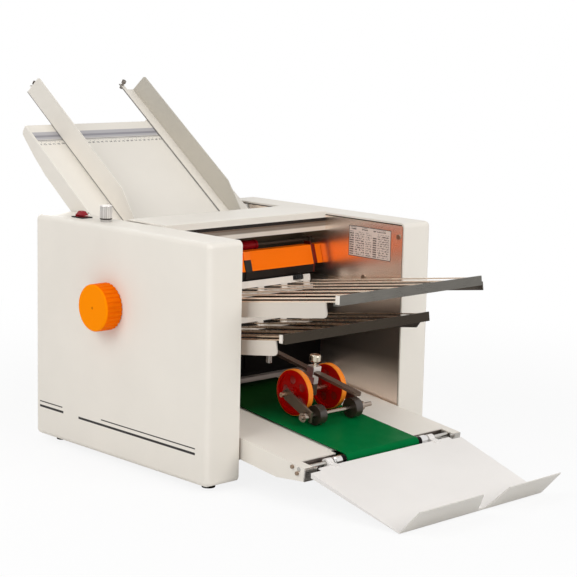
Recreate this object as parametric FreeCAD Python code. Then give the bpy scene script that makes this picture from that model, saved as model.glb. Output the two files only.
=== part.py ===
import FreeCAD
import Part
import math
import os

# Desk-top paper folding machine with two fold plates and a belt delivery.
# Millimetres.  X runs to the machine's right, -Y is the delivery side, +Z is up.
# Everything is laid out about the middle of the casing, z = 0 is the table top
# that it stands on, and the finished pieces are moved so that the origin is the
# centre of the overall box at that level.

V = FreeCAD.Vector
X_AXIS = V(1, 0, 0)
Y_AXIS = V(0, 1, 0)
Z_AXIS = V(0, 0, 1)
ORIGIN = V(0, 0, 0)

# ---- driving dimensions: casing ----
BAY_W = 380.0            # clear width between the two frame plates
HOUSING_T = 70.0         # width of each side housing
HOUSING_DEPTH = 466.0
HOUSING_H = 395.0
HOUSING_WALL = 3.0
HOUSING_EDGE_R = 9.0
PLATE_T = 4.0            # steel frame plates
PLATE_GAP = 0.3          # gap all round between a frame plate and its housing
FOOT_H = 10.0
FOOT_R = 13.0
FOOT_INSET = 34.0
BOSS_R = 6.0
PAN_T = 2.0
PAN_RISE = 14.0          # underside of the base pan above the feet
REAR_COVER_T = 2.0
REAR_COVER_H = 330.0
VENT_W = 60.0
VENT_H = 4.0
VENT_STEP = 10.0
VENT_ROWS = 7
INLET_W = 48.0
INLET_H = 27.0

# ---- fold rollers ----
FIT = 0.05               # radial clearance of every running fit
SAFE = 0.4               # gap between pieces that move past each other
ROLLER_R = 16.0
KNOB_AXIS_Y = 24.0       # axis of the driven roller and of the hand knob
KNOB_SHARE = 0.6582      # height of that axis as a share of the housing
NIP_TILT = 8.0           # degrees that the first nip drops towards the front
STACK_LEAN = 7.6         # forward step between the second and third roller
SHAFT_R = 6.0
ROLLER_END = 6.0         # gap from roller face to frame plate
BUSH_R = 9.0
GEAR_MODULE = 1.35
GEAR_W = 10.0
GEAR_OFF = 3.0           # gear face to frame plate
TEETH_ROLLER = 24
TEETH_IDLER = 40
TEETH_FEED = 36
ADDENDUM = 0.8
DEDENDUM = 1.15
BACKLASH = 0.40          # tooth width at the pitch line, as a share of the pitch

# ---- feed table ----
TABLE_TILT = 36.0
TABLE_Y = 175.0          # where the table's surface passes the housing's top
TABLE_LEN = 242.0        # from there to the top edge
TABLE_LEFT = 185.0       # left edge from the middle
TABLE_RIGHT = 178.0
SKIRT_LOW = 34.0         # depth of the turned-down sides at their lower end
SKIRT_TAPER = ((101.0, 33.0), (55.0, 28.0), (3.0, 18.5), (0.0, 13.0))  # from the top edge
TABLE_LIFT = 1.0         # table's surface above the housing's top there
TABLE_T = 2.0
TABLE_START = 4.0        # lower end of the sides
CHUTE_LEN = 160.0
TOP_FOLD = 12.0          # depth of the turned-down top edge

GUIDE_X = 125.0          # upright of each side guide from the middle
GUIDE_TOP = 337.0
GUIDE_LOW = 120.0
GUIDE_WALL_H = 45.0
GUIDE_FLANGE = 23.0
GUIDE_T = 2.0
GUIDE_END_RAKE = 12.0
GUIDE_NOSE = 133.0       # length of the slanted lower end
TONGUE_LEN = 18.0
TONGUE_W = 9.0
TONGUE_SCREW_R = 2.5
RAIL_R = 6.0             # guide rail under the table
RAIL_S = 192.0
CARRIER_W = 26.0
CARRIER_H = 22.0
RAIL_DROP = 16.0         # rail axis below the table's surface

# ---- feed roller ----
FEED_R = 22.0
FEED_S = 95.0            # distance down the chute from the housing's top line
FEED_GAP = 2.0
FEED_SLEEVES = (-36.0, 0.0, 36.0)
FEED_SLEEVE_W = 26.0
FEED_SHAFT_R = 6.0
PAD_W = 60.0
PAD_L = 24.0
PAD_T = 4.0

# ---- top cover, rail and guard ----
COVER_FRONT = -38.0
COVER_BACK = 65.0
COVER_T = 2.0
COVER_RISE = 3.0         # cover above the housing's top
LIP_H = 12.0
SHADOW_H = 6.0           # dark seal between lip and rail
RAIL_H = 17.0
RAIL_FLANGE = 16.0
GUARD_HALF = 166.0
GUARD_TOP_Y = -25.0
GUARD_TOP = 76.0         # guard's top and lower edge above the knob's axis
GUARD_BOTTOM_Y = -35.0
GUARD_LOW = 42.0
GUARD_T = 2.0
GUARD_RETURN = 16.0
GUARD_STRAP = (-2.0, 13.0)
GUARD_SKIRT = 15.0       # black skirt below the bright sheet
CHEEK_T = 3.0

# ---- fold plates (combs) ----
COMB_TILT = 8.0
COMB_HALF = 171.0
STRIPS = 7
STRIP_W = 5.0
STRIP_T = 2.0
COMB_GAP = 3.2           # paper gap between upper and lower strips
SIDE_H = 24.5
RIGHT_UPPER_H = 14.4     # the right-hand side rails are shallower
RIGHT_LOWER_H = 17.5
RIGHT_LOWER_LEN = 274.2  # raked at 45 degrees at its front
SIDE_T = 2.5
SIDE_CORNER_R = 8.0
BAR_H = 16.0
BAR_DROP = 9.6           # bar's lower edge under the middle of the paper gap
BAR_T = 3.0
BAR_FLANGE = 7.0
MOUTH_T = 5.0
COMB_MOUTH_Y = -30.0
UPPER_RISE = 8.5         # strip plane of the upper comb at its mouth above the knob's axis
LOWER_DROP = 53.0        # the lower comb's under it
UPPER_LEN = 399.5
LOWER_LEN = 284.0
UPPER_SIDE = 376.0
LOWER_SIDE = 266.0
SPACER_R = 6.0
SPACER_PLACES = (-30.0, -108.0)
STOP_HALF = 149.0
STOP_T = 6.0
STOP_H = 12.0
STOP_SEAT = 4.0          # bar height left under the clamp knob
STOP_KNOB_X = 119.0
STOP_KNOB_R = 11.0
STOP_KNOB_H = 9.0
STOP_SCREW_R = 2.0
STOP_S = -12.0           # both stops are pushed right in
FINGER_W = 14.0

# ---- delivery deck, belt and tray ----
DECK_TILT = 7.0
DECK_FRONT_Y = -380.0
DECK_FRONT_Z = 62.5
DECK_HALF = 185.0
DECK_T = 2.0
DECK_LEN = 452.0
DECK_WALL = 35.0
DECK_WALL_FRONT = 22.0
DECK_TAPER = 60.0
BELT_HALF = 85.0
BELT_T = 1.2
BELT_R = 8.5             # roller under the belt
BELT_CLEAR = 4.0         # belt surface above the deck
BELT_FRONT = 12.0        # front roller axis behind the deck's front edge
BELT_REAR_GAP = 20.0     # rear roller axis before the deck's rear edge
LAND_W = 18.0            # deck left beside the notch for the belt roller
NOTCH_LEN = 26.0
ROLLER_HALF = 112.0
ROD_R = 4.0
END_PLATE_T = 2.5
END_PLATE_W = 26.0
TRAY_HALF_REAR = 180.0
TRAY_HALF_FRONT = 171.0
TRAY_FOLD_Y = -570.0
TRAY_T = 1.5
TRAY_CLEAR = 0.6
LIP_LEN = 57.0
LIP_ANGLE = 47.0
TRAY_REAR_GAP = 1.0      # tray's rear edge in front of the deck's
TRAY_CORNER = 8.0        # more gap in front of the deck's end plates
TRAY_FLANGE = 6.5        # turned-down sides of the tray at its rear
HOOK_X = 121.0
HOOK_W = 13.0
HOOK_T = 3.0
NOTCH_BOTTOM = (8.0, 27.0)
NOTCH_TOP = (-24.0, 41.0)
PANEL_Y = -34.0
PANEL_T = 2.0
PANEL_Z0 = 118.0
PANEL_DROP = 31.0        # panel's top under the lower comb's mouth

# ---- wheel carriage ----
CARRIAGE_X = 7.0
WHEEL_R = 40.0
WHEEL_W = 11.0
WHEEL_RIM = 6.0
WHEEL_WEB = 4.0
WHEEL_HUB_R = 9.0
WHEEL_SPREAD = 40.0
WHEEL_HOLES = 5
WHEEL_HOLE_R = 7.5
AXLE_R = 4.0
AXLE_S = 189.0           # axle from the deck's front edge, along the deck
PRESS_S = 134.0
PRESS_R = 17.0
PRESS_W = 16.0
PRESS_SPREAD = 43.0
PRESS_SHAFT_R = 4.0
PRESS_SHAFT_ENDS = (-76.0, 92.0)
PRESS_SHIFT = 6.0        # rollers off the carriage's middle
COLLAR_R = 8.0
COLLAR_W = 9.0
ARM_T = 4.0
ARM_W = 20.0
ARM_SPREAD = 60.0
BAR_W = 14.0             # flat bar that the carriage clamps on
BAR_THICK = 5.0
BAR_TILT = 10.6          # bar to the level
BAR_RISE = 76.0          # bar's middle line above the deck at the axle
BAR_AHEAD = 112.0        # bar in front of the axle
BAR_LEVEL_Y = -97.0      # where the bar turns level
BAR_END_Y = -58.0
LUG_T = 3.0
LUG_H = 13.0             # turned-down end of the bar
BRACKET_W = 16.0
BRACKET_T = 3.0
BRACKET_H = 26.0         # foot of the bracket on the panel
BRACKET_UP = 9.0
POST_W = 18.0
POST_T = 16.0
SCREW_R = 3.0
CLAMP_KNOB_R = 10.0
CLAMP_KNOB_H = 13.0
CLAMP_NECK = 7.0
CLAMP_CAP = 8.0          # block above the bar
THUMB_R = 5.0
THUMB_H = 18.0
THUMB_NECK = 2.5
THUMB_Y = -90.0

# ---- hand knob, speed knob, switch ----
KNOB_R = 40.0
KNOB_DEPTH = 32.0
KNOB_GAP = 1.0
KNOB_FLUTES = 30
KNOB_FLUTE_R = 2.6
KNOB_SHAFT_R = 5.0
SPEED_Y = 76.0
SPEED_R = 10.5
SPEED_H = 24.0
SPEED_FLUTES = 18
SPEED_FLUTE_R = 1.1
COLLAR_H = 4.0
TOP_CONTROL_X = 225.0    # switch and speed knob from the machine's middle
SWITCH_Y = 144.0
SWITCH_W = 22.0
SWITCH_L = 31.0
BEZEL_H = 2.0
BEZEL_RIM = 2.5
ROCKER_RISE = 6.0
ROCKER_PIN_R = 1.5

# ---- motor and belts ----
MOTOR_Y = 150.0
MOTOR_Z = 92.0
MOTOR_R = 38.0
MOTOR_LEN = 112.0
MOTOR_SHAFT_R = 5.0
PULLEY_W = 12.0
MOTOR_PULLEY_R = 12.0
DRIVE_PULLEY_R = 36.0
OUT_PULLEY_R = 11.0
BELT_PULLEY_R = 16.0
TIMING_T = 2.0
TIMING_W = 9.0
PULLEY_FLANGE = 2.0
TIMING_GAP = 0.3

# ---- derived places ----
INNER = BAY_W / 2                       # inner face of the frame plates
OUTER = INNER + HOUSING_T
HALF_DEPTH = HOUSING_DEPTH / 2
BASE_Z = FOOT_H
TOP_Z = BASE_Z + HOUSING_H
KNOB_AXIS_Z = BASE_Z + KNOB_SHARE * HOUSING_H
UPPER_Z = KNOB_AXIS_Z + UPPER_RISE
LOWER_Z = KNOB_AXIS_Z - LOWER_DROP
GUARD_TOP_Z = KNOB_AXIS_Z + GUARD_TOP
GUARD_BOTTOM_Z = KNOB_AXIS_Z + GUARD_LOW
PANEL_Z1 = LOWER_Z - PANEL_DROP
BELT_REAR = DECK_LEN - BELT_REAR_GAP
NOTCH_HALF = DECK_HALF - LAND_W
END_FACE_X = DECK_HALF - END_PLATE_W
NIP = 2 * ROLLER_R + SAFE               # distance between two meeting rollers
TABLE_Z = TOP_Z + TABLE_LIFT


def whole(count):
    """A count of teeth, holes or flutes as a whole number."""
    return int(round(count))


def step(origin, angle, distance):
    """Point at a distance from origin, angle in degrees from +Z towards -Y."""
    a = math.radians(angle)
    return (origin[0] - distance * math.sin(a), origin[1] + distance * math.cos(a))


R2 = (KNOB_AXIS_Y, KNOB_AXIS_Z)
R1 = step(R2, NIP_TILT, NIP)
R3 = (R2[0] - STACK_LEAN, R2[1] - math.sqrt(NIP ** 2 - STACK_LEAN ** 2))
R4 = step(R3, 180 + NIP_TILT, NIP)
R5 = (R4[0] - STACK_LEAN, R4[1] - math.sqrt(NIP ** 2 - STACK_LEAN ** 2))


def on_slope(origin, tilt, s, n):
    """Point s along a slope that climbs towards +Y, and n square to it."""
    a = math.radians(tilt)
    return (origin[0] + s * math.cos(a) - n * math.sin(a),
            origin[1] + s * math.sin(a) + n * math.cos(a))


TABLE_ORIGIN = (TABLE_Y, TABLE_Z)
DECK_ORIGIN = (DECK_FRONT_Y, DECK_FRONT_Z)
FEED = on_slope(TABLE_ORIGIN, TABLE_TILT, -FEED_S, FEED_R + FEED_GAP)
PITCH_ROLLER = GEAR_MODULE * whole(TEETH_ROLLER) / 2
PITCH_IDLER = GEAR_MODULE * whole(TEETH_IDLER) / 2
PITCH_FEED = GEAR_MODULE * whole(TEETH_FEED) / 2
BELT_AXIS_N = BELT_CLEAR - BELT_T - BELT_R
BELT_FRONT_AXIS = on_slope(DECK_ORIGIN, DECK_TILT, BELT_FRONT, BELT_AXIS_N)
BELT_REAR_AXIS = on_slope(DECK_ORIGIN, DECK_TILT, BELT_REAR, BELT_AXIS_N)
AXLE_N = BELT_CLEAR + WHEEL_R + SAFE
PRESS_N = BELT_CLEAR + PRESS_R + SAFE
BAR_LOW = BAR_RISE - BAR_THICK / 2      # bar's underside and top at the axle
BAR_HIGH = BAR_RISE + BAR_THICK / 2
BAR_MID = on_slope(DECK_ORIGIN, DECK_TILT, AXLE_S, BAR_RISE)
BAR_LEVEL_Z = BAR_MID[1] + (BAR_LEVEL_Y - BAR_MID[0]) * math.tan(math.radians(BAR_TILT))


def meet_circles(p, rp, q, rq, side):
    """Centre at rp from p and rq from q, on the given side of the line pq."""
    dy = q[0] - p[0]
    dz = q[1] - p[1]
    d = math.hypot(dy, dz)
    a = (rp ** 2 - rq ** 2 + d ** 2) / (2 * d)
    h = math.sqrt(max(rp ** 2 - a ** 2, 0.0))
    return (p[0] + (a * dy - side * h * dz) / d, p[1] + (a * dz + side * h * dy) / d)


IDLER = meet_circles(R1, PITCH_ROLLER + PITCH_IDLER, FEED, PITCH_IDLER + PITCH_FEED, 1)


# ---- small tools ----
def box(x0, x1, y0, y1, z0, z1):
    return Part.makeBox(x1 - x0, y1 - y0, z1 - z0, V(x0, y0, z0))


def rod_x(x0, x1, centre, r):
    return Part.makeCylinder(r, x1 - x0, V(x0, centre[0], centre[1]), X_AXIS)


def rod_z(x, y, z0, z1, r):
    return Part.makeCylinder(r, z1 - z0, V(x, y, z0), Z_AXIS)


def sleeve_x(x0, x1, centre, r, bore):
    return rod_x(x0, x1, centre, r).cut(rod_x(x0 - 1, x1 + 1, centre, bore))


def prism_x(points, x0, x1):
    """Polygon of (y, z) points, extruded along X."""
    wire = Part.makePolygon([V(x0, y, z) for y, z in points + points[:1]])
    return Part.Face(wire).extrude(V(x1 - x0, 0, 0))


def prism_z(points, z0, z1):
    """Polygon of (x, y) points, extruded along Z."""
    wire = Part.makePolygon([V(x, y, z0) for x, y in points + points[:1]])
    return Part.Face(wire).extrude(V(0, 0, z1 - z0))


def tilt(shape, degrees, origin):
    """Turn a shape built level about the X axis, then carry it to (y, z)."""
    turned = shape.copy()
    turned.rotate(ORIGIN, X_AXIS, degrees)
    turned.translate(V(0, origin[0], origin[1]))
    return turned


def join(shapes):
    whole = shapes[0]
    for extra in shapes[1:]:
        whole = whole.fuse(extra)
    return whole.removeSplitter()


def group(shapes):
    return Part.makeCompound(shapes)


def mirror_x(shape):
    return shape.mirror(ORIGIN, X_AXIS)


def round_edges(shape, radius, wanted):
    edges = [e for e in shape.Edges if wanted(e)]
    return shape.makeFillet(radius, edges)


def runs_along(edge, axis):
    if len(edge.Vertexes) != 2:
        return False
    d = edge.Vertexes[1].Point.sub(edge.Vertexes[0].Point)
    if d.Length < 1e-6:
        return False
    return abs(d.normalize().dot(axis)) > 0.999


def both_sides(shape):
    return group([shape, mirror_x(shape)])


def mesh_phase(centre, other, teeth, other_teeth, other_phase):
    """Turn that puts a gap of one gear opposite the other gear's tooth."""
    line = math.degrees(math.atan2(other[1] - centre[1], other[0] - centre[0]))
    pitch = 360.0 / whole(teeth)
    other_pitch = 360.0 / whole(other_teeth)
    lag = (line + 180.0 - other_phase) / other_pitch
    share = lag - math.floor(lag)
    return line + (share + 0.5) * pitch


def gear(x0, centre, teeth, phase, bore):
    """Spur gear with straight-flanked teeth, its first tooth at phase."""
    teeth = whole(teeth)
    pitch_r = GEAR_MODULE * teeth / 2
    tip_r = pitch_r + ADDENDUM * GEAR_MODULE
    root_r = pitch_r - DEDENDUM * GEAR_MODULE
    pitch_angle = 2 * math.pi / teeth
    half = BACKLASH * pitch_angle / 2
    points = []
    for k in range(teeth):
        mid = math.radians(phase) + k * pitch_angle
        for r, a in ((root_r, -1.45 * half), (tip_r, -0.55 * half),
                     (tip_r, 0.55 * half), (root_r, 1.45 * half)):
            points.append((centre[0] + r * math.cos(mid + a), centre[1] + r * math.sin(mid + a)))
    return prism_x(points, x0, x0 + GEAR_W).cut(rod_x(x0 - 1, x0 + GEAR_W + 1, centre, bore))


PHASES = {}


def set_phases():
    """Tooth phases along the train, from the driven roller outwards."""
    PHASES["r2"] = 0.0
    n = TEETH_ROLLER
    PHASES["r1"] = mesh_phase(R1, R2, n, n, PHASES["r2"])
    PHASES["r3"] = mesh_phase(R3, R2, n, n, PHASES["r2"])
    PHASES["r4"] = mesh_phase(R4, R3, n, n, PHASES["r3"])
    PHASES["r5"] = mesh_phase(R5, R4, n, n, PHASES["r4"])
    PHASES["idler"] = mesh_phase(IDLER, R1, TEETH_IDLER, n, PHASES["r1"])
    PHASES["feed"] = mesh_phase(FEED, IDLER, TEETH_FEED, TEETH_IDLER, PHASES["idler"])


set_phases()

PLATE_OUT = INNER + PLATE_T
GEAR_X = -(PLATE_OUT + GEAR_OFF + GEAR_W)
SHAFT_END = PLATE_OUT + GEAR_OFF + GEAR_W + 3.0
PULLEY_X = PLATE_OUT + GEAR_OFF
OUT_PULLEY_X = PULLEY_X + PULLEY_W + 4.0


# ---- housings, frame ----
def housing_shell():
    """Right side housing: a deep tray with rounded outer edges, open inwards."""
    outer = box(INNER, OUTER, -HALF_DEPTH, HALF_DEPTH, BASE_Z, TOP_Z)
    outer = round_edges(outer, HOUSING_EDGE_R, lambda e: e.CenterOfMass.x > INNER + 1)
    w = HOUSING_WALL
    core = box(INNER - 1, OUTER - w, w - HALF_DEPTH, HALF_DEPTH - w, BASE_Z + w, TOP_Z - w)
    core = round_edges(core, HOUSING_EDGE_R - w, lambda e: e.CenterOfMass.x > INNER + 1)
    shell = outer.cut(core)
    bosses = []
    for y in (-1, 1):
        for z in (0, 1):
            place = (y * (HALF_DEPTH - 4 * BOSS_R), BASE_Z + 5 * BOSS_R + z * (HOUSING_H - 10 * BOSS_R))
            bosses.append(rod_x(PLATE_OUT, OUTER - w + 0.5, place, BOSS_R))
    return join([shell] + bosses)


def right_housing():
    return housing_shell()


def left_housing():
    shell = mirror_x(housing_shell())
    shell = shell.cut(rod_x(-OUTER - 1, -INNER, R2, KNOB_SHAFT_R + 1.5))
    z0 = TOP_Z - 2 * HOUSING_WALL
    x = -TOP_CONTROL_X
    half_w = SWITCH_W / 2 - BEZEL_RIM
    half_l = SWITCH_L / 2 - BEZEL_RIM
    slot = box(x - half_w, x + half_w, SWITCH_Y - half_l, SWITCH_Y + half_l, z0, TOP_Z + 1)
    return shell.cut(slot).cut(rod_z(x, SPEED_Y, z0, TOP_Z + 1, SCREW_R + FIT))


def plate_holes(centres):
    return [rod_x(INNER - 1, PLATE_OUT + 1, c, r) for c, r in centres]


BUSHED = (R1, R2, R3, R4, R5, FEED, BELT_REAR_AXIS)


def frame_plate(extra):
    w = HOUSING_WALL + PLATE_GAP
    plate = box(INNER, PLATE_OUT, w - HALF_DEPTH, HALF_DEPTH - w, BASE_Z + w, TOP_Z - w)
    plate = round_edges(plate, HOUSING_EDGE_R - HOUSING_WALL + 1, lambda e: runs_along(e, X_AXIS))
    for hole in plate_holes([(c, BUSH_R) for c in BUSHED] + extra):
        plate = plate.cut(hole)
    return plate


def left_frame_plate():
    return mirror_x(frame_plate([(IDLER, SHAFT_R)]))


def right_frame_plate():
    return frame_plate([((MOTOR_Y, MOTOR_Z), MOTOR_SHAFT_R + 3.0)])


def shaft_bushes():
    rings = [sleeve_x(INNER, PLATE_OUT, c, BUSH_R, SHAFT_R + FIT) for c in BUSHED]
    return group(rings + [mirror_x(r) for r in rings])


def rubber_feet():
    feet = []
    for sx in (-1, 1):
        for sy in (-1, 1):
            x = sx * (OUTER - HOUSING_T / 2)
            foot = Part.makeCone(FOOT_R - 2, FOOT_R, FOOT_H, V(x, sy * (HALF_DEPTH - FOOT_INSET), 0), Z_AXIS)
            feet.append(foot)
    return group(feet)


def base_pan():
    """Folded pan between the frame plates, turned up at its front edge."""
    z = BASE_Z + PAN_RISE
    front = -HALF_DEPTH + 60
    back = HALF_DEPTH - HOUSING_WALL - REAR_COVER_T
    floor = box(-INNER, INNER, front, back, z, z + PAN_T)
    lip = box(-INNER, INNER, front, front + PAN_T, z, z + 9)
    return join([floor, lip])


def rear_cover():
    z0 = BASE_Z + PAN_RISE
    back = HALF_DEPTH - HOUSING_WALL
    cover = box(-INNER, INNER, back - REAR_COVER_T, back, z0, z0 + REAR_COVER_H)
    x = -INNER + 60
    z = z0 + 45
    inlet = box(x - INLET_W / 2, x + INLET_W / 2, back - 10, back + 10, z - INLET_H / 2, z + INLET_H / 2)
    cover = cover.cut(inlet)
    for k in range(whole(VENT_ROWS)):
        low = z0 + 40 + k * VENT_STEP
        cover = cover.cut(box(30, 30 + VENT_W, back - 10, back + 10, low, low + VENT_H))
    return cover


def power_inlet():
    """Flanged appliance inlet with a hollow front and three pins."""
    back = HALF_DEPTH - HOUSING_WALL
    x = -INNER + 60
    z = BASE_Z + PAN_RISE + 45
    w = INLET_W / 2
    h = INLET_H / 2
    flange = box(x - w - 6, x + w + 6, back, back + 2.5, z - h - 4, z + h + 4)
    body = box(x - w + 0.3, x + w - 0.3, back - 24, back, z - h + 0.3, z + h - 0.3)
    socket = box(x - w + 11, x + w - 11, back - 16, back + 4, z - h + 4, z + h - 4)
    inlet = join([flange, body]).cut(socket)
    pins = [box(x + dx - 1, x + dx + 1, back - 17, back - 2, z + dz - 2, z + dz + 2)
            for dx, dz in ((-7, -2), (0, 3), (7, -2))]
    return join([inlet] + pins)


# ---- top cover, front rail, guard ----
def top_cover():
    """Sheet over the rollers with a turned-down front lip and side flanges."""
    z1 = TOP_Z + COVER_RISE
    sheet = box(-INNER, INNER, COVER_FRONT, COVER_BACK, z1 - COVER_T, z1)
    lip = box(-INNER, INNER, COVER_FRONT, COVER_FRONT + COVER_T, z1 - LIP_H, z1)
    back = box(-INNER, INNER, COVER_BACK - COVER_T, COVER_BACK, z1 - LIP_H, z1)
    cover = join([sheet, lip, back])
    edge = lambda e: runs_along(e, X_AXIS) and abs(e.CenterOfMass.z - z1) < 0.01
    return round_edges(cover, 1.5, edge)


def cover_seal():
    """Dark strip that closes the gap between the cover's lip and the front rail."""
    z1 = TOP_Z + COVER_RISE - LIP_H
    return box(-INNER, INNER, COVER_FRONT + 0.6, COVER_FRONT + 6, z1 - SHADOW_H, z1)


def front_rail():
    """Brushed steel channel across the bay, seen from the front under the lip."""
    z1 = TOP_Z + COVER_RISE - LIP_H - SHADOW_H
    z0 = z1 - RAIL_H
    y = COVER_FRONT
    web = box(-INNER, INNER, y, y + COVER_T, z0, z1)
    top = box(-INNER, INNER, y, y + RAIL_FLANGE, z1 - COVER_T, z1)
    bottom = box(-INNER, INNER, y, y + RAIL_FLANGE, z0, z0 + COVER_T)
    return join([web, top, bottom])


def guard_strip(front, back, x0, x1):
    """Sheet parallel to the guard's slope, from front to back of its outer face."""
    top = (GUARD_TOP_Y, GUARD_TOP_Z)
    low = (GUARD_BOTTOM_Y, GUARD_BOTTOM_Z)
    return prism_x([(top[0] + front, top[1]), (low[0] + front, low[1]),
                    (low[0] + back, low[1]), (top[0] + back, top[1])], x0, x1)


def roller_guard():
    """Bright folded sheet in front of the rollers, with a return at its top."""
    face = guard_strip(0, GUARD_T, -GUARD_HALF, GUARD_HALF)
    top = box(-GUARD_HALF, GUARD_HALF, GUARD_TOP_Y, GUARD_TOP_Y + GUARD_RETURN,
              GUARD_TOP_Z - GUARD_T, GUARD_TOP_Z)
    return join([face, top])


def guard_bracket():
    """Black carrier behind the guard: skirt, cheeks with ears, a strap and the seal."""
    t = GUARD_T
    low = (GUARD_BOTTOM_Y, GUARD_BOTTOM_Z)
    foot = GUARD_BOTTOM_Z - GUARD_SKIRT
    back = guard_strip(t, 2 * t, -GUARD_HALF, GUARD_HALF)
    inside = GUARD_TOP_Z - t
    over = box(-GUARD_HALF - 1, GUARD_HALF + 1, GUARD_TOP_Y - 20, GUARD_TOP_Y + 30, inside, inside + 5)
    back = back.cut(over)
    skirt = prism_x([(low[0], low[1]), (low[0] + t, foot), (low[0] + 2 * t, foot), (low[0] + 2 * t, low[1])],
                    -GUARD_HALF, GUARD_HALF)
    cheek = prism_x([(GUARD_TOP_Y + t, GUARD_TOP_Z + 6), (low[0], low[1]), (low[0] + t, foot),
                     (low[0] + 14, foot), (GUARD_TOP_Y + 18, GUARD_TOP_Z + 6)],
                    GUARD_HALF, GUARD_HALF + CHEEK_T)
    ear = box(GUARD_HALF + CHEEK_T, INNER, GUARD_TOP_Y + 4, GUARD_TOP_Y + 14,
              GUARD_TOP_Z - 8, GUARD_TOP_Z)
    side = join([cheek, ear])
    strap = guard_strip(-t, 0, GUARD_STRAP[0], GUARD_STRAP[1])
    tail = prism_x([(low[0] - t, low[1]), (low[0], foot), (low[0] + t, foot), (low[0], low[1])],
                   GUARD_STRAP[0], GUARD_STRAP[1])
    return group([join([back, skirt, side, mirror_x(side)]), join([strap, tail]), cover_seal()])


# ---- feed table ----
def table_side():
    """Outline of a turned-down side, shallower towards the table's top."""
    points = [(TABLE_START, 0), (TABLE_START, -SKIRT_LOW)]
    for back, depth in SKIRT_TAPER:
        points.append((TABLE_LEN - back, -depth))
    return points + [(TABLE_LEN, 0)]


def feed_table():
    """Sloping table: flat sheet with turned-down sides and top, and its chute."""
    t = TABLE_T
    sheet = box(-TABLE_LEFT, TABLE_RIGHT, TABLE_START, TABLE_LEN, -t, 0)
    left = prism_x(table_side(), -TABLE_LEFT, -TABLE_LEFT + t)
    right = prism_x(table_side(), TABLE_RIGHT - t, TABLE_RIGHT)
    chute = box(-TABLE_LEFT + 1, TABLE_RIGHT - 1, -CHUTE_LEN, TABLE_START + 2, -t, 0)
    fold = box(-TABLE_LEFT, TABLE_RIGHT, TABLE_LEN - t, TABLE_LEN, -TOP_FOLD, 0)
    opening = box(-PAD_W / 2 - 1, PAD_W / 2 + 1, -FEED_S - PAD_L / 2 - 1, -FEED_S + PAD_L / 2 + 1, -t - 1, 1)
    table = join([sheet, chute, fold, left, right]).cut(opening)
    edge = lambda e: runs_along(e, Y_AXIS) and e.CenterOfMass.z > -0.01 and e.CenterOfMass.y > TABLE_START + 3
    return tilt(round_edges(table, 1.5, edge), TABLE_TILT, TABLE_ORIGIN)


def table_supports():
    """Two brackets that carry the chute from the frame plates."""
    x = TABLE_RIGHT - 10
    leg = box(x, INNER, -30, -6, -TABLE_T - 16, -TABLE_T)
    leg = leg.cut(box(x - 1, INNER - 3, -31, -5, -TABLE_T - 17, -TABLE_T - 3))
    low = box(x, INNER, 8 - CHUTE_LEN, 28 - CHUTE_LEN, -TABLE_T - 12, -TABLE_T)
    return tilt(both_sides(group([leg, low])), TABLE_TILT, TABLE_ORIGIN)


def guide_rail():
    """Round cross rail between the table's turned-down sides, with end collars."""
    x0 = -TABLE_LEFT + TABLE_T
    x1 = TABLE_RIGHT - TABLE_T
    rail = Part.makeCylinder(RAIL_R, x1 - x0, V(x0, RAIL_S, -RAIL_DROP), X_AXIS)
    collars = [Part.makeCylinder(RAIL_R + 3, COLLAR_H, V(x, RAIL_S, -RAIL_DROP), X_AXIS)
               for x in (x0, x1 - COLLAR_H)]
    return tilt(join([rail] + collars), TABLE_TILT, TABLE_ORIGIN)


def side_guide():
    """Right guide: upright and inward flange, a tongue at the top, a carrier below."""
    gap = SAFE
    t = GUIDE_T
    wall = prism_x([(-GUIDE_LOW, gap), (-GUIDE_LOW + GUIDE_NOSE, GUIDE_WALL_H),
                    (GUIDE_TOP - GUIDE_END_RAKE, GUIDE_WALL_H), (GUIDE_TOP, gap)], GUIDE_X, GUIDE_X + t)
    edge = lambda e: runs_along(e, X_AXIS) and e.CenterOfMass.z > GUIDE_WALL_H - 1
    wall = round_edges(wall, 6.0, edge)
    flange = box(GUIDE_X - GUIDE_FLANGE, GUIDE_X + t, -GUIDE_LOW, GUIDE_TOP, gap, gap + t)
    tongue = box(GUIDE_X - GUIDE_FLANGE, GUIDE_X - GUIDE_FLANGE + TONGUE_W,
                 GUIDE_TOP - 1, GUIDE_TOP + TONGUE_LEN, gap, gap + t)
    back = TABLE_LEN + gap
    drop = RAIL_DROP + CARRIER_H / 2
    hook = box(GUIDE_X - CARRIER_W, GUIDE_X, back, back + 3, -drop, gap + 0.5)
    arm = box(GUIDE_X - CARRIER_W, GUIDE_X, RAIL_S - CARRIER_H / 2, back + 3, -drop, -drop + 3)
    ear = box(GUIDE_X - CARRIER_W, GUIDE_X, RAIL_S - CARRIER_H / 2, RAIL_S + CARRIER_H / 2,
              -drop, -TABLE_T - 1.0)
    carrier = join([hook, arm, ear])
    start = V(GUIDE_X - CARRIER_W - 1, RAIL_S, -RAIL_DROP)
    bore = Part.makeCylinder(RAIL_R + FIT, CARRIER_W + 2, start, X_AXIS)
    return join([wall, flange, tongue, carrier]).cut(bore)


def guide_screw():
    """Small clamp screw with a slotted head on a guide's tongue."""
    x = GUIDE_X - GUIDE_FLANGE + TONGUE_W / 2
    s = GUIDE_TOP + TONGUE_LEN - TONGUE_W / 2
    base = SAFE + GUIDE_T
    body = rod_z(x, s, base, base + 6, TONGUE_SCREW_R)
    head = rod_z(x, s, base + 6, base + 11, TONGUE_SCREW_R + 2)
    slot = box(x - TONGUE_SCREW_R - 3, x + TONGUE_SCREW_R + 3, s - 0.7, s + 0.7, base + 9.5, base + 12)
    under = rod_z(x, s, SAFE - 5, SAFE, TONGUE_SCREW_R + 1)
    return group([join([body, head]).cut(slot), under])


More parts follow.
